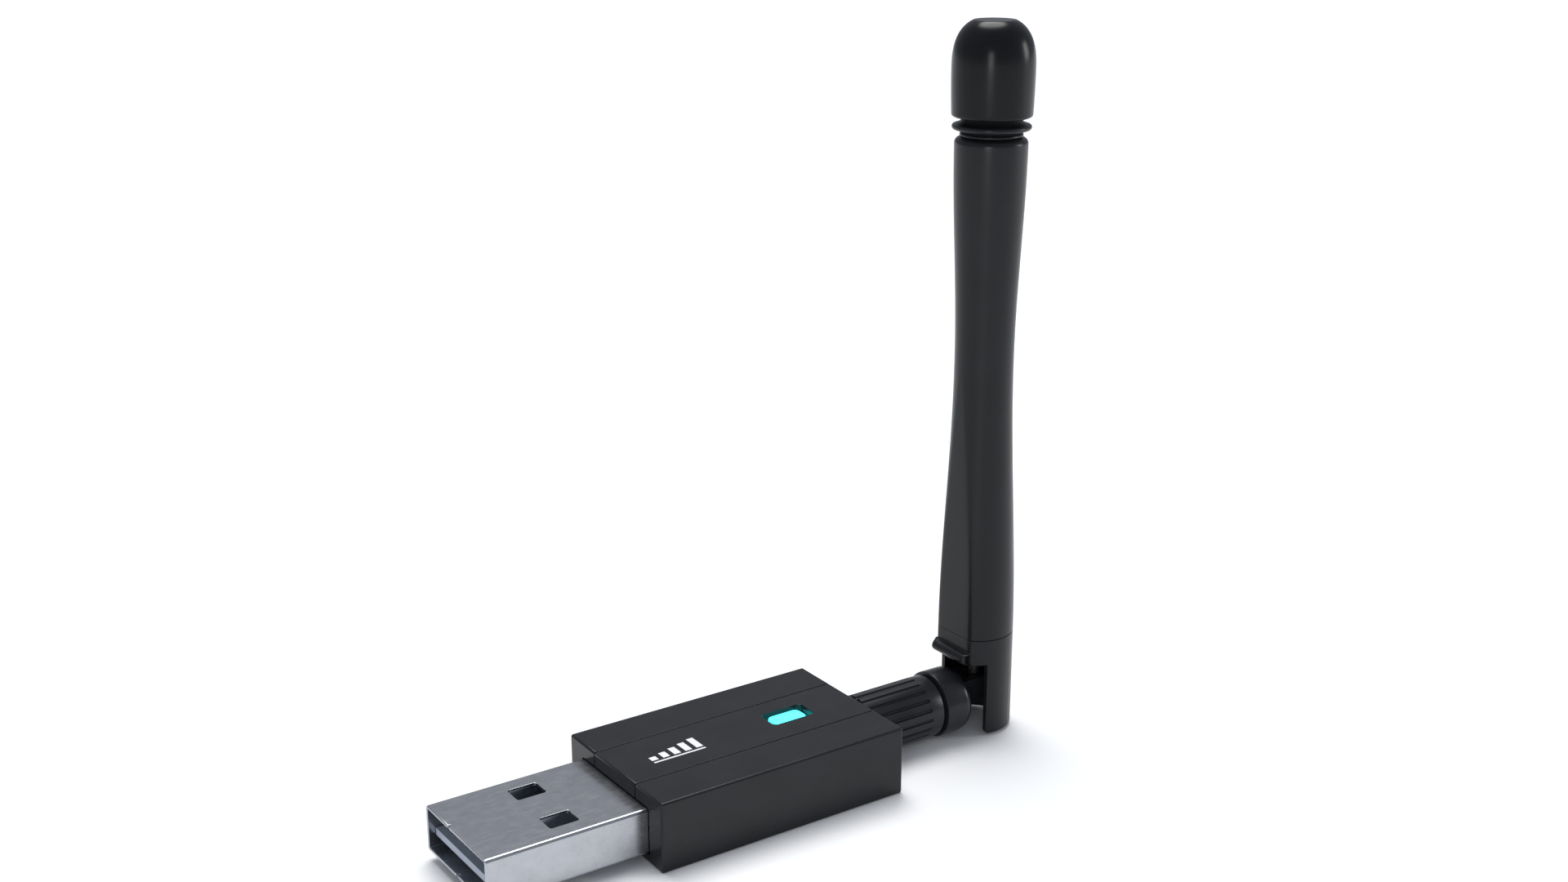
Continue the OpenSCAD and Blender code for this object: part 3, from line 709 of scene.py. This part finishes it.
def shell():
    """Folded tube of sheet steel: rounded lip, two latch holes on each side, notches and a seam."""
    width = PLUG_HIGH.y - PLUG_LOW.y
    height = PLUG_HIGH.z - PLUG_LOW.z
    tip = PLUG_LOW.x
    rear = tip + SHELL_LENGTH

    def ring(inset, x):
        corner = max(SHELL_EDGE - inset, SHELL_INNER_EDGE)
        loop = rounded_loop(width - 2 * inset, height - 2 * inset, corner, 6)
        return [(x, u, PLUG_MID_Z + v) for u, v in loop]

    rings = [
        ring(0, rear), ring(0, tip + 2 * LIP_ROUND), ring(LIP_ROUND * 0.3, tip + LIP_ROUND * 0.4),
        ring(LIP_ROUND, tip), ring(SHEET, tip + SHEET / 6), ring(SHEET, rear),
    ]
    tube = loft("plug_shell", rings, closed=True)
    hole_loop = rounded_loop(HOLE_L, HOLE_W, HOLE_EDGE)
    holes = [
        slug("hole", hole_loop, "Z", PLUG_LOW.z - PAST, PLUG_HIGH.z + PAST, (HOLE_X, y))
        for y in (-HOLE_Y, HOLE_Y)
    ]
    seam = block(
        "seam",
        (tip - PAST, -SEAM_HALF, PLUG_LOW.z - PAST),
        (rear + PAST, SEAM_HALF, PLUG_LOW.z + 2 * SHEET),
    )
    top_notch = block(
        "top_notch",
        (tip - PAST, NOTCH_Y - NOTCH_HALF, PLUG_HIGH.z - 2 * SHEET),
        (tip + NOTCH_DEPTH, NOTCH_Y + NOTCH_HALF, PLUG_HIGH.z + PAST),
    )
    low_notch = block(
        "low_notch",
        (tip - PAST, -NOTCH_HALF, PLUG_LOW.z - PAST),
        (tip + NOTCH_DEPTH, NOTCH_HALF, PLUG_LOW.z + 2 * SHEET),
    )
    cut(tube, *holes, seam, top_notch, low_notch)
    soften(tube, SHELL_CUT_EDGE)
    return finish_piece(tube, "adapter", PLUG_STEEL, ["usb_shell"], flat_faces=True)


PLATE_T = 0.7
PLATE_L = 9.0
PLATE_TOP_Z = INSULATOR_LOW.z + 1.7
BLOCK_L = 6.2
CONTACT_YS = (-3.5, -1.0, 1.0, 3.5)
CONTACT_GROOVE_HALF = 0.55
CONTACT_GROOVE_T = 0.25
CONTACT_LEAD = 0.05
COVER_SETBACK = 7.0
COVER_T = 0.1
INSULATOR_EDGE = 0.06


def insulator():
    """Thin plate in the plug's mouth, with the deeper block that holds it and a cover behind."""
    low = INSULATOR_LOW
    high = INSULATOR_HIGH
    plate = block(
        "plug_insulator", (low.x, low.y, PLATE_TOP_Z - PLATE_T), (high.x, high.y, PLATE_TOP_Z))
    deep = block("deep", (low.x + PLATE_L, low.y, low.z), (high.x, high.y, PLATE_TOP_Z))
    rear = block("rear", (high.x - BLOCK_L, low.y, low.z), high)
    add(plate, deep, rear)
    grooves = [
        block(
            "groove",
            (CONTACT_LOW.x - CONTACT_LEAD, y - CONTACT_GROOVE_HALF, PLATE_TOP_Z - CONTACT_GROOVE_T),
            (CONTACT_HIGH.x, y + CONTACT_GROOVE_HALF, PLATE_TOP_Z + 0.1),
        )
        for y in CONTACT_YS
    ]
    cut(plate, *grooves)
    cover_low = (low.x + COVER_SETBACK, low.y, PLATE_TOP_Z)
    add(plate, block("cover", cover_low, (high.x, high.y, PLATE_TOP_Z + COVER_T)))
    soften(plate, INSULATOR_EDGE)
    return finish_piece(
        plate, "adapter", INSULATOR, ["usb_insulator"], flat_faces=True)


# ---------------------------------------------------------------- barrel and swivel

FLUTES = 20
FLUTE_DEPTH = 0.2
FLUTE_SHARE = 0.18
BARREL_R = BARREL_HIGH.y
ROOT_R = 2.8
FLANGE_R = 2.2
NECK_R = 1.7
FLUTE_START = BODY_HIGH.x + 0.6
FLUTE_END = BODY_HIGH.x + 7.9
GROOVE_START = BARREL_HIGH.x - 0.3
STEM_R = 1.25
STEM_BORE_R = 1.3
BARREL_LEAD = 0.12
NECK_OVERLAP = 0.02
PITCH = 2 * math.pi / FLUTES
FLUTE_HALF_W = FLUTE_SHARE * PITCH * BARREL_R


def flute_angles():
    """Angles round the barrel, close together across each flute and wide apart on the lands."""
    shares = [-FLUTE_SHARE * math.cos(math.pi * k / 10) for k in range(11)]
    half_land = 0.5 - FLUTE_SHARE
    shares += [FLUTE_SHARE + half_land * step for step in (0.12, 0.5, 1.0, 1.5, 1.88)]
    return [PITCH * (i + share) for i in range(FLUTES) for share in shares]


def fluted(x):
    """Barrel radius by angle: grooves with round bottoms and ball-shaped ends."""
    into_end = max(0, (x - (FLUTE_END - FLUTE_HALF_W)) / FLUTE_HALF_W)

    def radius(angle):
        share = (angle / PITCH + 0.5) % 1 - 0.5
        across = share / FLUTE_SHARE
        room = 1 - across ** 2 - into_end ** 2
        return BARREL_R - FLUTE_DEPTH * math.sqrt(max(0, room))
    return radius


def barrel():
    """Fluted barrel with its neck and flange in the rear wall, and a groove before the collar."""
    angles = flute_angles()
    wall_x = BODY_HIGH.x - END_WALL - 0.01
    neck_end = BODY_HIGH.x + NECK_OVERLAP
    plain = [
        (STEM_BORE_R, BARREL_LOW.x), (FLANGE_R, BARREL_LOW.x), (FLANGE_R, wall_x), (NECK_R, wall_x),
        (NECK_R, neck_end), (ROOT_R, neck_end), (ROOT_R, FLUTE_START - BARREL_LEAD),
        (BARREL_R - FLUTE_DEPTH, FLUTE_START - BARREL_LEAD / 4),
    ]
    rings = [lying_ring(r, x, angles) for r, x in plain]
    steps = 14
    straight_end = FLUTE_END - FLUTE_HALF_W
    for x in (FLUTE_START + 0.05, (FLUTE_START + straight_end) / 2, straight_end):
        rings.append(lying_ring(fluted(x), x, angles))
    for i in range(1, steps + 1):
        x = straight_end + FLUTE_HALF_W * math.sin(math.radians(90 * i / steps))
        rings.append(lying_ring(fluted(x), x, angles))
    last = [
        (BARREL_R, FLUTE_END + 0.05), (BARREL_R, GROOVE_START - BARREL_LEAD),
        (BARREL_R - 0.03, GROOVE_START - 0.03), (BARREL_R - BARREL_LEAD, GROOVE_START),
        (ROOT_R, GROOVE_START), (ROOT_R, BARREL_HIGH.x), (STEM_BORE_R, BARREL_HIGH.x),
    ]
    rings += [lying_ring(r, x, angles) for r, x in last]
    piece = loft("fluted_barrel", rings, closed=True)
    return finish_piece(piece, "adapter", HINGE_PLASTIC, ["antenna_barrel"])


COLLAR_R = COLLAR_HIGH.z - AXIS_Z
COLLAR_FRONT = BARREL_HIGH.x + 0.1
COLLAR_END = COLLAR_FRONT + 3.43
COLLAR_ROUND = 1.1
COLLAR_LEAD = 0.12
TONGUE_W = 3.3
TONGUE_LOW = 2.95
TONGUE_HIGH = 5.6
TONGUE_TOP_R = 1.0
TONGUE_ROOT = 0.6
TONGUE_EDGE = 0.1
KNUCKLE_R = COLLAR_HIGH.x - PIN.x
CHEEK_SLOT = 1.3
CHEEK_X = MAST_X - 1.3
COAX_BORE = 0.65
PIN_R = 0.5
PIN_FIT = 0.03


def tongue_outline():
    """Side view of the hinge tongue: a flat bar that ends in the knuckle around the pin."""
    top_x = MAST_X + 0.6
    lower = math.degrees(math.asin((PIN.z - TONGUE_LOW) / KNUCKLE_R))
    outline = [(COLLAR_END - TONGUE_ROOT, TONGUE_LOW)]
    outline += arc((PIN.x, PIN.z), KNUCKLE_R, 180 + lower, 380, 16)
    outline += arc((top_x, TONGUE_HIGH - TONGUE_TOP_R), TONGUE_TOP_R, 20, 90, 8)
    outline.append((COLLAR_END - TONGUE_ROOT, TONGUE_HIGH))
    return outline


def collar():
    """Collar with its hollow stem, and the slotted hinge tongue at its end."""
    outline = [(COAX_BORE, COLLAR_LOW.x), (STEM_R, COLLAR_LOW.x), (STEM_R, COLLAR_FRONT)]
    outline += arc((COLLAR_R - COLLAR_LEAD, COLLAR_FRONT + COLLAR_LEAD), COLLAR_LEAD, -90, 0, 4)
    outline += arc((COLLAR_R - COLLAR_ROUND, COLLAR_END - COLLAR_ROUND), COLLAR_ROUND, 0, 90, 14)
    outline += [(COAX_BORE, COLLAR_END)]
    piece = revolve_lying("swivel_collar_piece", outline)
    half = TONGUE_W / 2
    tongue = loft("tongue", [[(x, y, z) for x, z in tongue_outline()] for y in (-half, half)])
    bore = rod("bore", "X", (0, AXIS_Z), COAX_BORE, COLLAR_END - PAST, MAST_X)
    cheek = block(
        "cheek",
        (CHEEK_X, -CHEEK_SLOT / 2, 0),
        (PIN.x + 2 * KNUCKLE_R, CHEEK_SLOT / 2, BODY_HIGH.z),
    )
    pin_hole = rod("pin_hole", "Y", (PIN.x, PIN.z), PIN_R + PIN_FIT, -TONGUE_W, TONGUE_W)
    cut(tongue, bore, cheek, pin_hole)
    soften(tongue, TONGUE_EDGE, 3)
    add(piece, tongue)
    return finish_piece(
        piece, "swivel", HINGE_PLASTIC, ["swivel_collar"], flat_faces=True)


# ---------------------------------------------------------------- mast

WAIST_R = 2.89
WAIST_Z = 38.9
LOWER_FLARE = 0.93
LOWER_FLARE_L = 29
UPPER_FLARE = 0.615
UPPER_FLARE_L = 21.3
UPPER_START_Z = 39.1
FOOT_R = FORK_HIGH.y
SLEEVE_BORE = 2.2
SPIGOT_R = 2.15
SHOULDER = 0.6
FLAT_CORNER = 0.16
SLEEVE_EDGE = 0.04


def ease(t):
    """Smooth step from 0 to 1."""
    return (1 - math.cos(math.pi * min(1, max(0, t)))) / 2


def mast_radius(z):
    """Radius of the waisted mast at a height."""
    lower = LOWER_FLARE * ease((WAIST_Z - z) / LOWER_FLARE_L)
    upper = UPPER_FLARE * ease((z - UPPER_START_Z) / UPPER_FLARE_L)
    return WAIST_R + lower + upper


def flat_fronted(radius, z):
    """Radius by angle of a round section with a flat on the -X side, its corners a little rounded."""
    softness = FLAT_CORNER * min(1, max(0, radius - WAIST_R) / 0.3)
    if z > WAIST_Z or not softness:
        return radius

    def by_angle(angle):
        towards_flat = -math.cos(angle)
        if towards_flat < 0.05:
            return radius
        flat = WAIST_R / towards_flat
        return (radius + flat - math.sqrt((radius - flat) ** 2 + softness ** 2)) / 2
    return by_angle


def sleeve():
    """Waisted skin of the mast, flat in front below the waist and rounded over at the top."""
    angles = turn(192)
    low = SLEEVE_LOW.z
    high = SLEEVE_HIGH.z
    edge = SLEEVE_EDGE
    steps = 90
    rings = [upright_ring(SLEEVE_BORE, low, angles)]
    for drop, z in ((edge, low), (0, low + edge)):
        rings.append(upright_ring(flat_fronted(mast_radius(z) - drop, z), z, angles))
    top = high - SHOULDER
    for i in range(1, steps + 1):
        z = low + edge + (top - low - edge) * i / steps
        rings.append(upright_ring(flat_fronted(mast_radius(z), z), z, angles))
    for r, z in arc((mast_radius(top) - SHOULDER, top), SHOULDER, 8, 90, 10):
        rings.append(upright_ring(r, z, angles))
    rings.append(upright_ring(SLEEVE_BORE, high, angles))
    piece = loft("sleeve_skin", rings, closed=True)
    return finish_piece(piece, "mast", ANTENNA_SKIN, ["mast_sleeve"])


HUB_R = 2.87
SMALL_BEAD_R = 0.18
DISC_Z = 61.46
DISC_EDGE = 0.26
DISC_ROOT = 0.52
DISC_SHOULDER = 0.36


def neck():
    """Ring with a small bead below and a lens-shaped disc above."""
    low = RING_LOW.z
    high = RING_HIGH.z
    rim = RING_HIGH.y - DISC_EDGE
    bead_z = low + SMALL_BEAD_R + 0.02
    outline = [(SLEEVE_BORE, low), (HUB_R, low)]
    outline += arc((HUB_R - 0.03, bead_z), SMALL_BEAD_R, -60, 60, 8)
    outline.append((HUB_R, bead_z + SMALL_BEAD_R))
    outline += [(HUB_R + 0.08, DISC_Z - DISC_ROOT), (HUB_R + 0.35, DISC_Z - DISC_SHOULDER)]
    outline += arc((rim, DISC_Z), DISC_EDGE, -80, 80, 12)
    outline += [(HUB_R + 0.35, DISC_Z + DISC_SHOULDER), (HUB_R + 0.08, DISC_Z + DISC_ROOT)]
    outline += [(HUB_R, high), (SLEEVE_BORE, high)]
    piece = revolve_upright("neck_bead", outline, 160)
    return finish_piece(piece, "mast", ANTENNA_SKIN, ["neck_ring"], 50)


DOME_POWER = 2.6
DOME_Z = 66.8
TOP_DISC_R = 2.0
CAP_EDGE_Z = 62.38
CAP_EDGE_R = 3.85
CAP_ROUND = 0.3


def cap():
    """Rounded tip: barely swelling sides, a superellipse shoulder and a flat disc on top."""
    tip_r = CAP_HIGH.y
    top_angle = math.acos((TOP_DISC_R / tip_r) ** (DOME_POWER / 2))
    dome_h = (CAP_HIGH.z - DOME_Z) / math.sin(top_angle) ** (2 / DOME_POWER)
    outline = [(COAX_BORE, CAP_LOW.z), (SPIGOT_R, CAP_LOW.z), (SPIGOT_R, CAP_EDGE_Z)]
    outline += arc((CAP_EDGE_R - CAP_ROUND, CAP_EDGE_Z + CAP_ROUND), CAP_ROUND, -90, 0, 8)
    steps = 24
    side_low = CAP_EDGE_Z + CAP_ROUND
    for i in range(1, steps + 1):
        t = i / steps
        swell = (tip_r - CAP_EDGE_R) * math.sin(math.pi / 2 * t)
        outline.append((CAP_EDGE_R + swell, side_low + (DOME_Z - side_low) * t))
    steps = 36
    for i in range(1, steps + 1):
        angle = top_angle * i / steps
        radius = tip_r * math.cos(angle) ** (2 / DOME_POWER)
        outline.append((radius, DOME_Z + dome_h * math.sin(angle) ** (2 / DOME_POWER)))
    outline += [(TOP_DISC_R - 0.06, CAP_HIGH.z), (TOP_DISC_R / 2, CAP_HIGH.z), (0.02, CAP_HIGH.z)]
    angles = turn(160)
    piece = loft("tip_cap_skin", [upright_ring(r, z, angles) for r, z in outline])
    return finish_piece(piece, "mast", CAP_SKIN, ["tip_cap"], 50)


EAR_FRONT = 1.3
EAR_CORNER = 0.6
FOOT_EDGE = 0.3
FORK_SLOT = 6.3
SLOT_ROUND = 3.25
SLOT_BACK = 2.9
SLOT_ROOF = 7.9
SEAM_Z = SLEEVE_LOW.z - 0.04
SEAM_EDGE = 0.03
HOOD_LOW_Z = SEAM_Z - 5
LIP_OUT = 0.88
LIP_HALF_H = 0.6
LIP_HALF_W = 2.8
LIP_END = 0.7
LIP_BLEND = 0.14
BOSS_R = 1.3
BOSS_GAP = 0.1
BOSS_SINK = 0.1
FORK_EDGE = 0.08
PIN_OUTER_Y = 3.45
PIN_INNER_Y = 0.7


def lip_reach(y, z):
    """How far the bead across the foot of the flat stands out, at a place on the flat."""
    up = (z - SLOT_ROOF - LIP_HALF_H) / LIP_HALF_H
    along = max(0, (abs(y) - LIP_HALF_W + LIP_END) / LIP_END)
    return LIP_OUT * math.sqrt(max(0, 1 - up ** 2)) * math.sqrt(max(0, 1 - along ** 2))


def hood(z):
    """Radius by angle of the fork's hood: round, flat in front, with the bead blended into the flat."""
    rise = (z - HOOD_LOW_Z) / (SEAM_Z - HOOD_LOW_Z)
    radius = FOOT_R + (mast_radius(SEAM_Z) - FOOT_R) * rise
    plain = flat_fronted(radius, z)

    def by_angle(angle):
        base = plain(angle)
        towards_flat = -math.cos(angle)
        if towards_flat < 0.3:
            return base
        reach = base
        for _ in range(4):
            out = lip_reach(reach * math.sin(angle), z)
            reach = (WAIST_R + out) / towards_flat
        if not out:
            return base
        blended = (base + reach + math.sqrt((base - reach) ** 2 + LIP_BLEND ** 2)) / 2
        if base > reach:
            return blended - LIP_BLEND / 2
        return blended
    return by_angle


def fork_blank():
    """The fork as a full round: foot, hood with its bead, and spigot."""
    angles = turn(240)
    low = FORK_LOW.z
    foot = [(COAX_BORE, low)]
    foot += arc((FOOT_R - FOOT_EDGE, low + FOOT_EDGE), FOOT_EDGE, -90, 0, 6)
    foot.append((FOOT_R, HOOD_LOW_Z))
    rings = [upright_ring(r, z, angles) for r, z in foot]
    steps = 20
    heights = [SLOT_ROOF - 0.2]
    heights += [SLOT_ROOF + LIP_HALF_H * (1 - math.cos(math.pi * i / steps)) for i in range(steps + 1)]
    heights += [heights[-1] + lift for lift in (0.05, 0.12, 0.3, 0.7)]
    heights.append(SEAM_Z - SEAM_EDGE)
    rings += [upright_ring(hood(z), z, angles) for z in heights]
    seam = flat_fronted(mast_radius(SEAM_Z) - SEAM_EDGE, SEAM_Z)
    rings.append(upright_ring(seam, SEAM_Z, angles))
    spigot = [(SPIGOT_R, SEAM_Z), (SPIGOT_R, FORK_HIGH.z), (COAX_BORE, FORK_HIGH.z)]
    rings += [upright_ring(r, z, angles) for r, z in spigot]
    return loft("fork_yoke", rings, closed=True)


def fork_cutters():
    """What the fork's blank loses: the slot, and the front below the hood."""
    low = FORK_LOW.z
    wide = 2 * FOOT_R
    slot_round = rod("slot_round", "Z", (MAST_X, 0), SLOT_ROUND, low - PAST, SLOT_ROOF)
    slot_back = block(
        "slot_back",
        (MAST_X - PAST, -FORK_SLOT / 2, low - 2 * PAST),
        (MAST_X + SLOT_BACK, FORK_SLOT / 2, SLOT_ROOF + PAST),
    )
    keep_inside(slot_round, slot_back)
    slot_front = block(
        "slot_front",
        (MAST_X - wide, -FORK_SLOT / 2, low - PAST),
        (MAST_X, FORK_SLOT / 2, SLOT_ROOF),
    )
    ear_x = MAST_X - EAR_FRONT
    front = block("front", (MAST_X - wide, -wide, low - PAST), (ear_x, wide, SLOT_ROOF))
    round_x = ear_x + EAR_CORNER
    round_z = low + EAR_CORNER
    corner = block("corner", (ear_x - PAST, -wide, low - PAST), (round_x, wide, round_z))
    cut(corner, rod("corner_round", "Y", (round_x, round_z), EAR_CORNER, -2 * wide, 2 * wide, 48))
    return [slot_round, slot_front, front, corner]


def fork():
    """Foot of the mast: two ears with bosses for the pins, and the hood over the hinge tongue."""
    piece = fork_blank()
    cut(piece, *fork_cutters())
    for side in (-1, 1):
        ends = sorted((side * (TONGUE_W / 2 + BOSS_GAP), side * (FORK_SLOT / 2 + BOSS_SINK)))
        boss = rod("boss", "Y", (PIN.x, PIN.z), BOSS_R, ends[0], ends[1], 48)
        keep_inside(boss, rod("round", "Z", (MAST_X, 0), FOOT_R - BOSS_SINK, FORK_LOW.z, SLOT_ROOF))
        add(piece, boss)
    cut(piece, rod("pin_hole", "Y", (PIN.x, PIN.z), PIN_R + 0.01, -PIN_OUTER_Y, PIN_OUTER_Y, 40))
    soften(piece, FORK_EDGE, 3, angle=50)
    return finish_piece(piece, "mast", ANTENNA_SKIN, ["fork"], flat_faces=True)


def pins():
    """Two stub pins with rounded outer ends, one in each ear."""
    angles = turn(40)
    outline = [(PIN_R, PIN_INNER_Y), (PIN_R, PIN_OUTER_Y - 0.12)]
    outline += [(0.44, PIN_OUTER_Y - 0.03), (0.3, PIN_OUTER_Y)]
    stubs = []
    for side in (-1, 1):
        stubs.append(loft("tilt_pins", [cross_ring(PIN.x, side * y, PIN.z, r, angles) for r, y in outline]))
    piece = merge(stubs[0], stubs[1:])
    return finish_piece(piece, "mast", DARK_STEEL, ["hinge_pins"])


# ---------------------------------------------------------------- inner pieces keep their CAD shapes

INNER_FINISH = {
    "usb_contacts": GOLD,
    "circuit_board": BOARD,
    "wifi_chip": CHIP_RESIN,
    "crystal": BRIGHT_STEEL,
    "voltage_regulator": CHIP_RESIN,
    "power_inductor": FERRITE,
    "capacitors": CERAMIC,
    "resistors": CHIP_RESIN,
    "status_led": LED_RESIN,
    "coax_pigtail": COAX_JACKET,
    "friction_ring": RING_RUBBER,
    "retaining_clip": BRIGHT_STEEL,
    "coax_swivel": COAX_JACKET,
    "coax_mast": COAX_JACKET,
    "ground_sleeve": GOLD,
    "radiator_rod": COPPER,
    "centring_disc": WHITE_PLASTIC,
}


def finish_inner_pieces():
    for node, material in INNER_FINISH.items():
        mesh = frame["nodes"][node].data
        mesh.materials.clear()
        mesh.materials.append(material)


# ---------------------------------------------------------------- stage

CAMERA_AZIMUTH = -34.41
CAMERA_ELEVATION = 17.73
CAMERA_DISTANCE = 0.1753
CAMERA_LENS = 43.95
AIM = Vector((0.00534, 0, 0.03468))
FLOOR_HALF = 6.0
ROOM_LIGHT = (0.335, 0.355, 0.395, 1)
ROOM_SEEN = (0.93, 0.96, 1.0, 1)


def aim(obj, target):
    """Turns a camera or light towards a point."""
    obj.rotation_mode = "QUATERNION"
    obj.rotation_quaternion = (target - obj.location).to_track_quat("-Z", "Y")


def on_sphere(azimuth, elevation, distance, centre):
    """Point at an angle round the object. Azimuth 0 is on the -Y side, 90 on the +X side."""
    a = math.radians(azimuth)
    e = math.radians(elevation)
    return centre + distance * Vector((math.sin(a) * math.cos(e), -math.cos(a) * math.cos(e), math.sin(e)))


def make_camera():
    data = bpy.data.cameras.new("camera")
    data.lens = CAMERA_LENS
    data.sensor_width = 36
    data.clip_start = 0.005
    data.clip_end = 50
    camera = bpy.data.objects.new("camera", data)
    bpy.context.scene.collection.objects.link(camera)
    camera.location = on_sphere(CAMERA_AZIMUTH, CAMERA_ELEVATION, CAMERA_DISTANCE, AIM)
    aim(camera, AIM)
    bpy.context.scene.camera = camera


def add_light(name, kind, azimuth, elevation, energy, colour=(1, 1, 1), distance=0.6, centre=AIM):
    data = bpy.data.lights.new(name, kind)
    data.energy = energy
    data.color = colour
    light = bpy.data.objects.new(name, data)
    bpy.context.scene.collection.objects.link(light)
    light.location = on_sphere(azimuth, elevation, distance, centre)
    aim(light, centre)
    return data


def area_light(name, azimuth, elevation, size, energy, centre=AIM):
    data = add_light(name, "AREA", azimuth, elevation, energy, centre=centre)
    data.shape = "RECTANGLE"
    data.size, data.size_y = size


def make_world():
    """Even room light, with a bright backdrop where the camera looks past the floor."""
    world = bpy.data.worlds.new("studio")
    bpy.context.scene.world = world
    world.use_nodes = True
    tree = world.node_tree
    path = tree.nodes.new("ShaderNodeLightPath")
    mix = tree.nodes.new("ShaderNodeMix")
    mix.data_type = "RGBA"
    mix.inputs["A"].default_value = ROOM_LIGHT
    mix.inputs["B"].default_value = ROOM_SEEN
    tree.links.new(path.outputs["Is Camera Ray"], mix.inputs["Factor"])
    tree.links.new(mix.outputs["Result"], tree.nodes["Background"].inputs["Color"])


def make_floor():
    bm = bmesh.new()
    bmesh.ops.create_grid(bm, x_segments=8, y_segments=8, size=FLOOR_HALF)
    floor = from_bmesh("floor", bm)
    surface = Surface("floor_white", (0.86, 0.87, 0.885), 0.7, specular=0.1)
    floor.data.materials.append(surface.material)


def make_lights():
    overhead = add_light("overhead", "SUN", 152, 70, 3.1, (1.0, 0.99, 0.97))
    overhead.angle = math.radians(40)
    tip = Vector((MAST_X, 0, CAP_LOW.z)) * MM
    area_light("shoulder", 60, 11, (0.13, 0.2), 0.8, tip)
    area_light("streak", -48, 4, (0.12, 0.25), 0.6, tip)
    bpy.context.scene.view_settings.view_transform = "Standard"


make_camera()
make_world()
make_floor()
make_lights()
housing()
strip()
base()
window()
mark()
shell()
insulator()
barrel()
collar()
fork()
sleeve()
neck()
cap()
pins()
finish_inner_pieces()

bpy.context.view_layer.update()
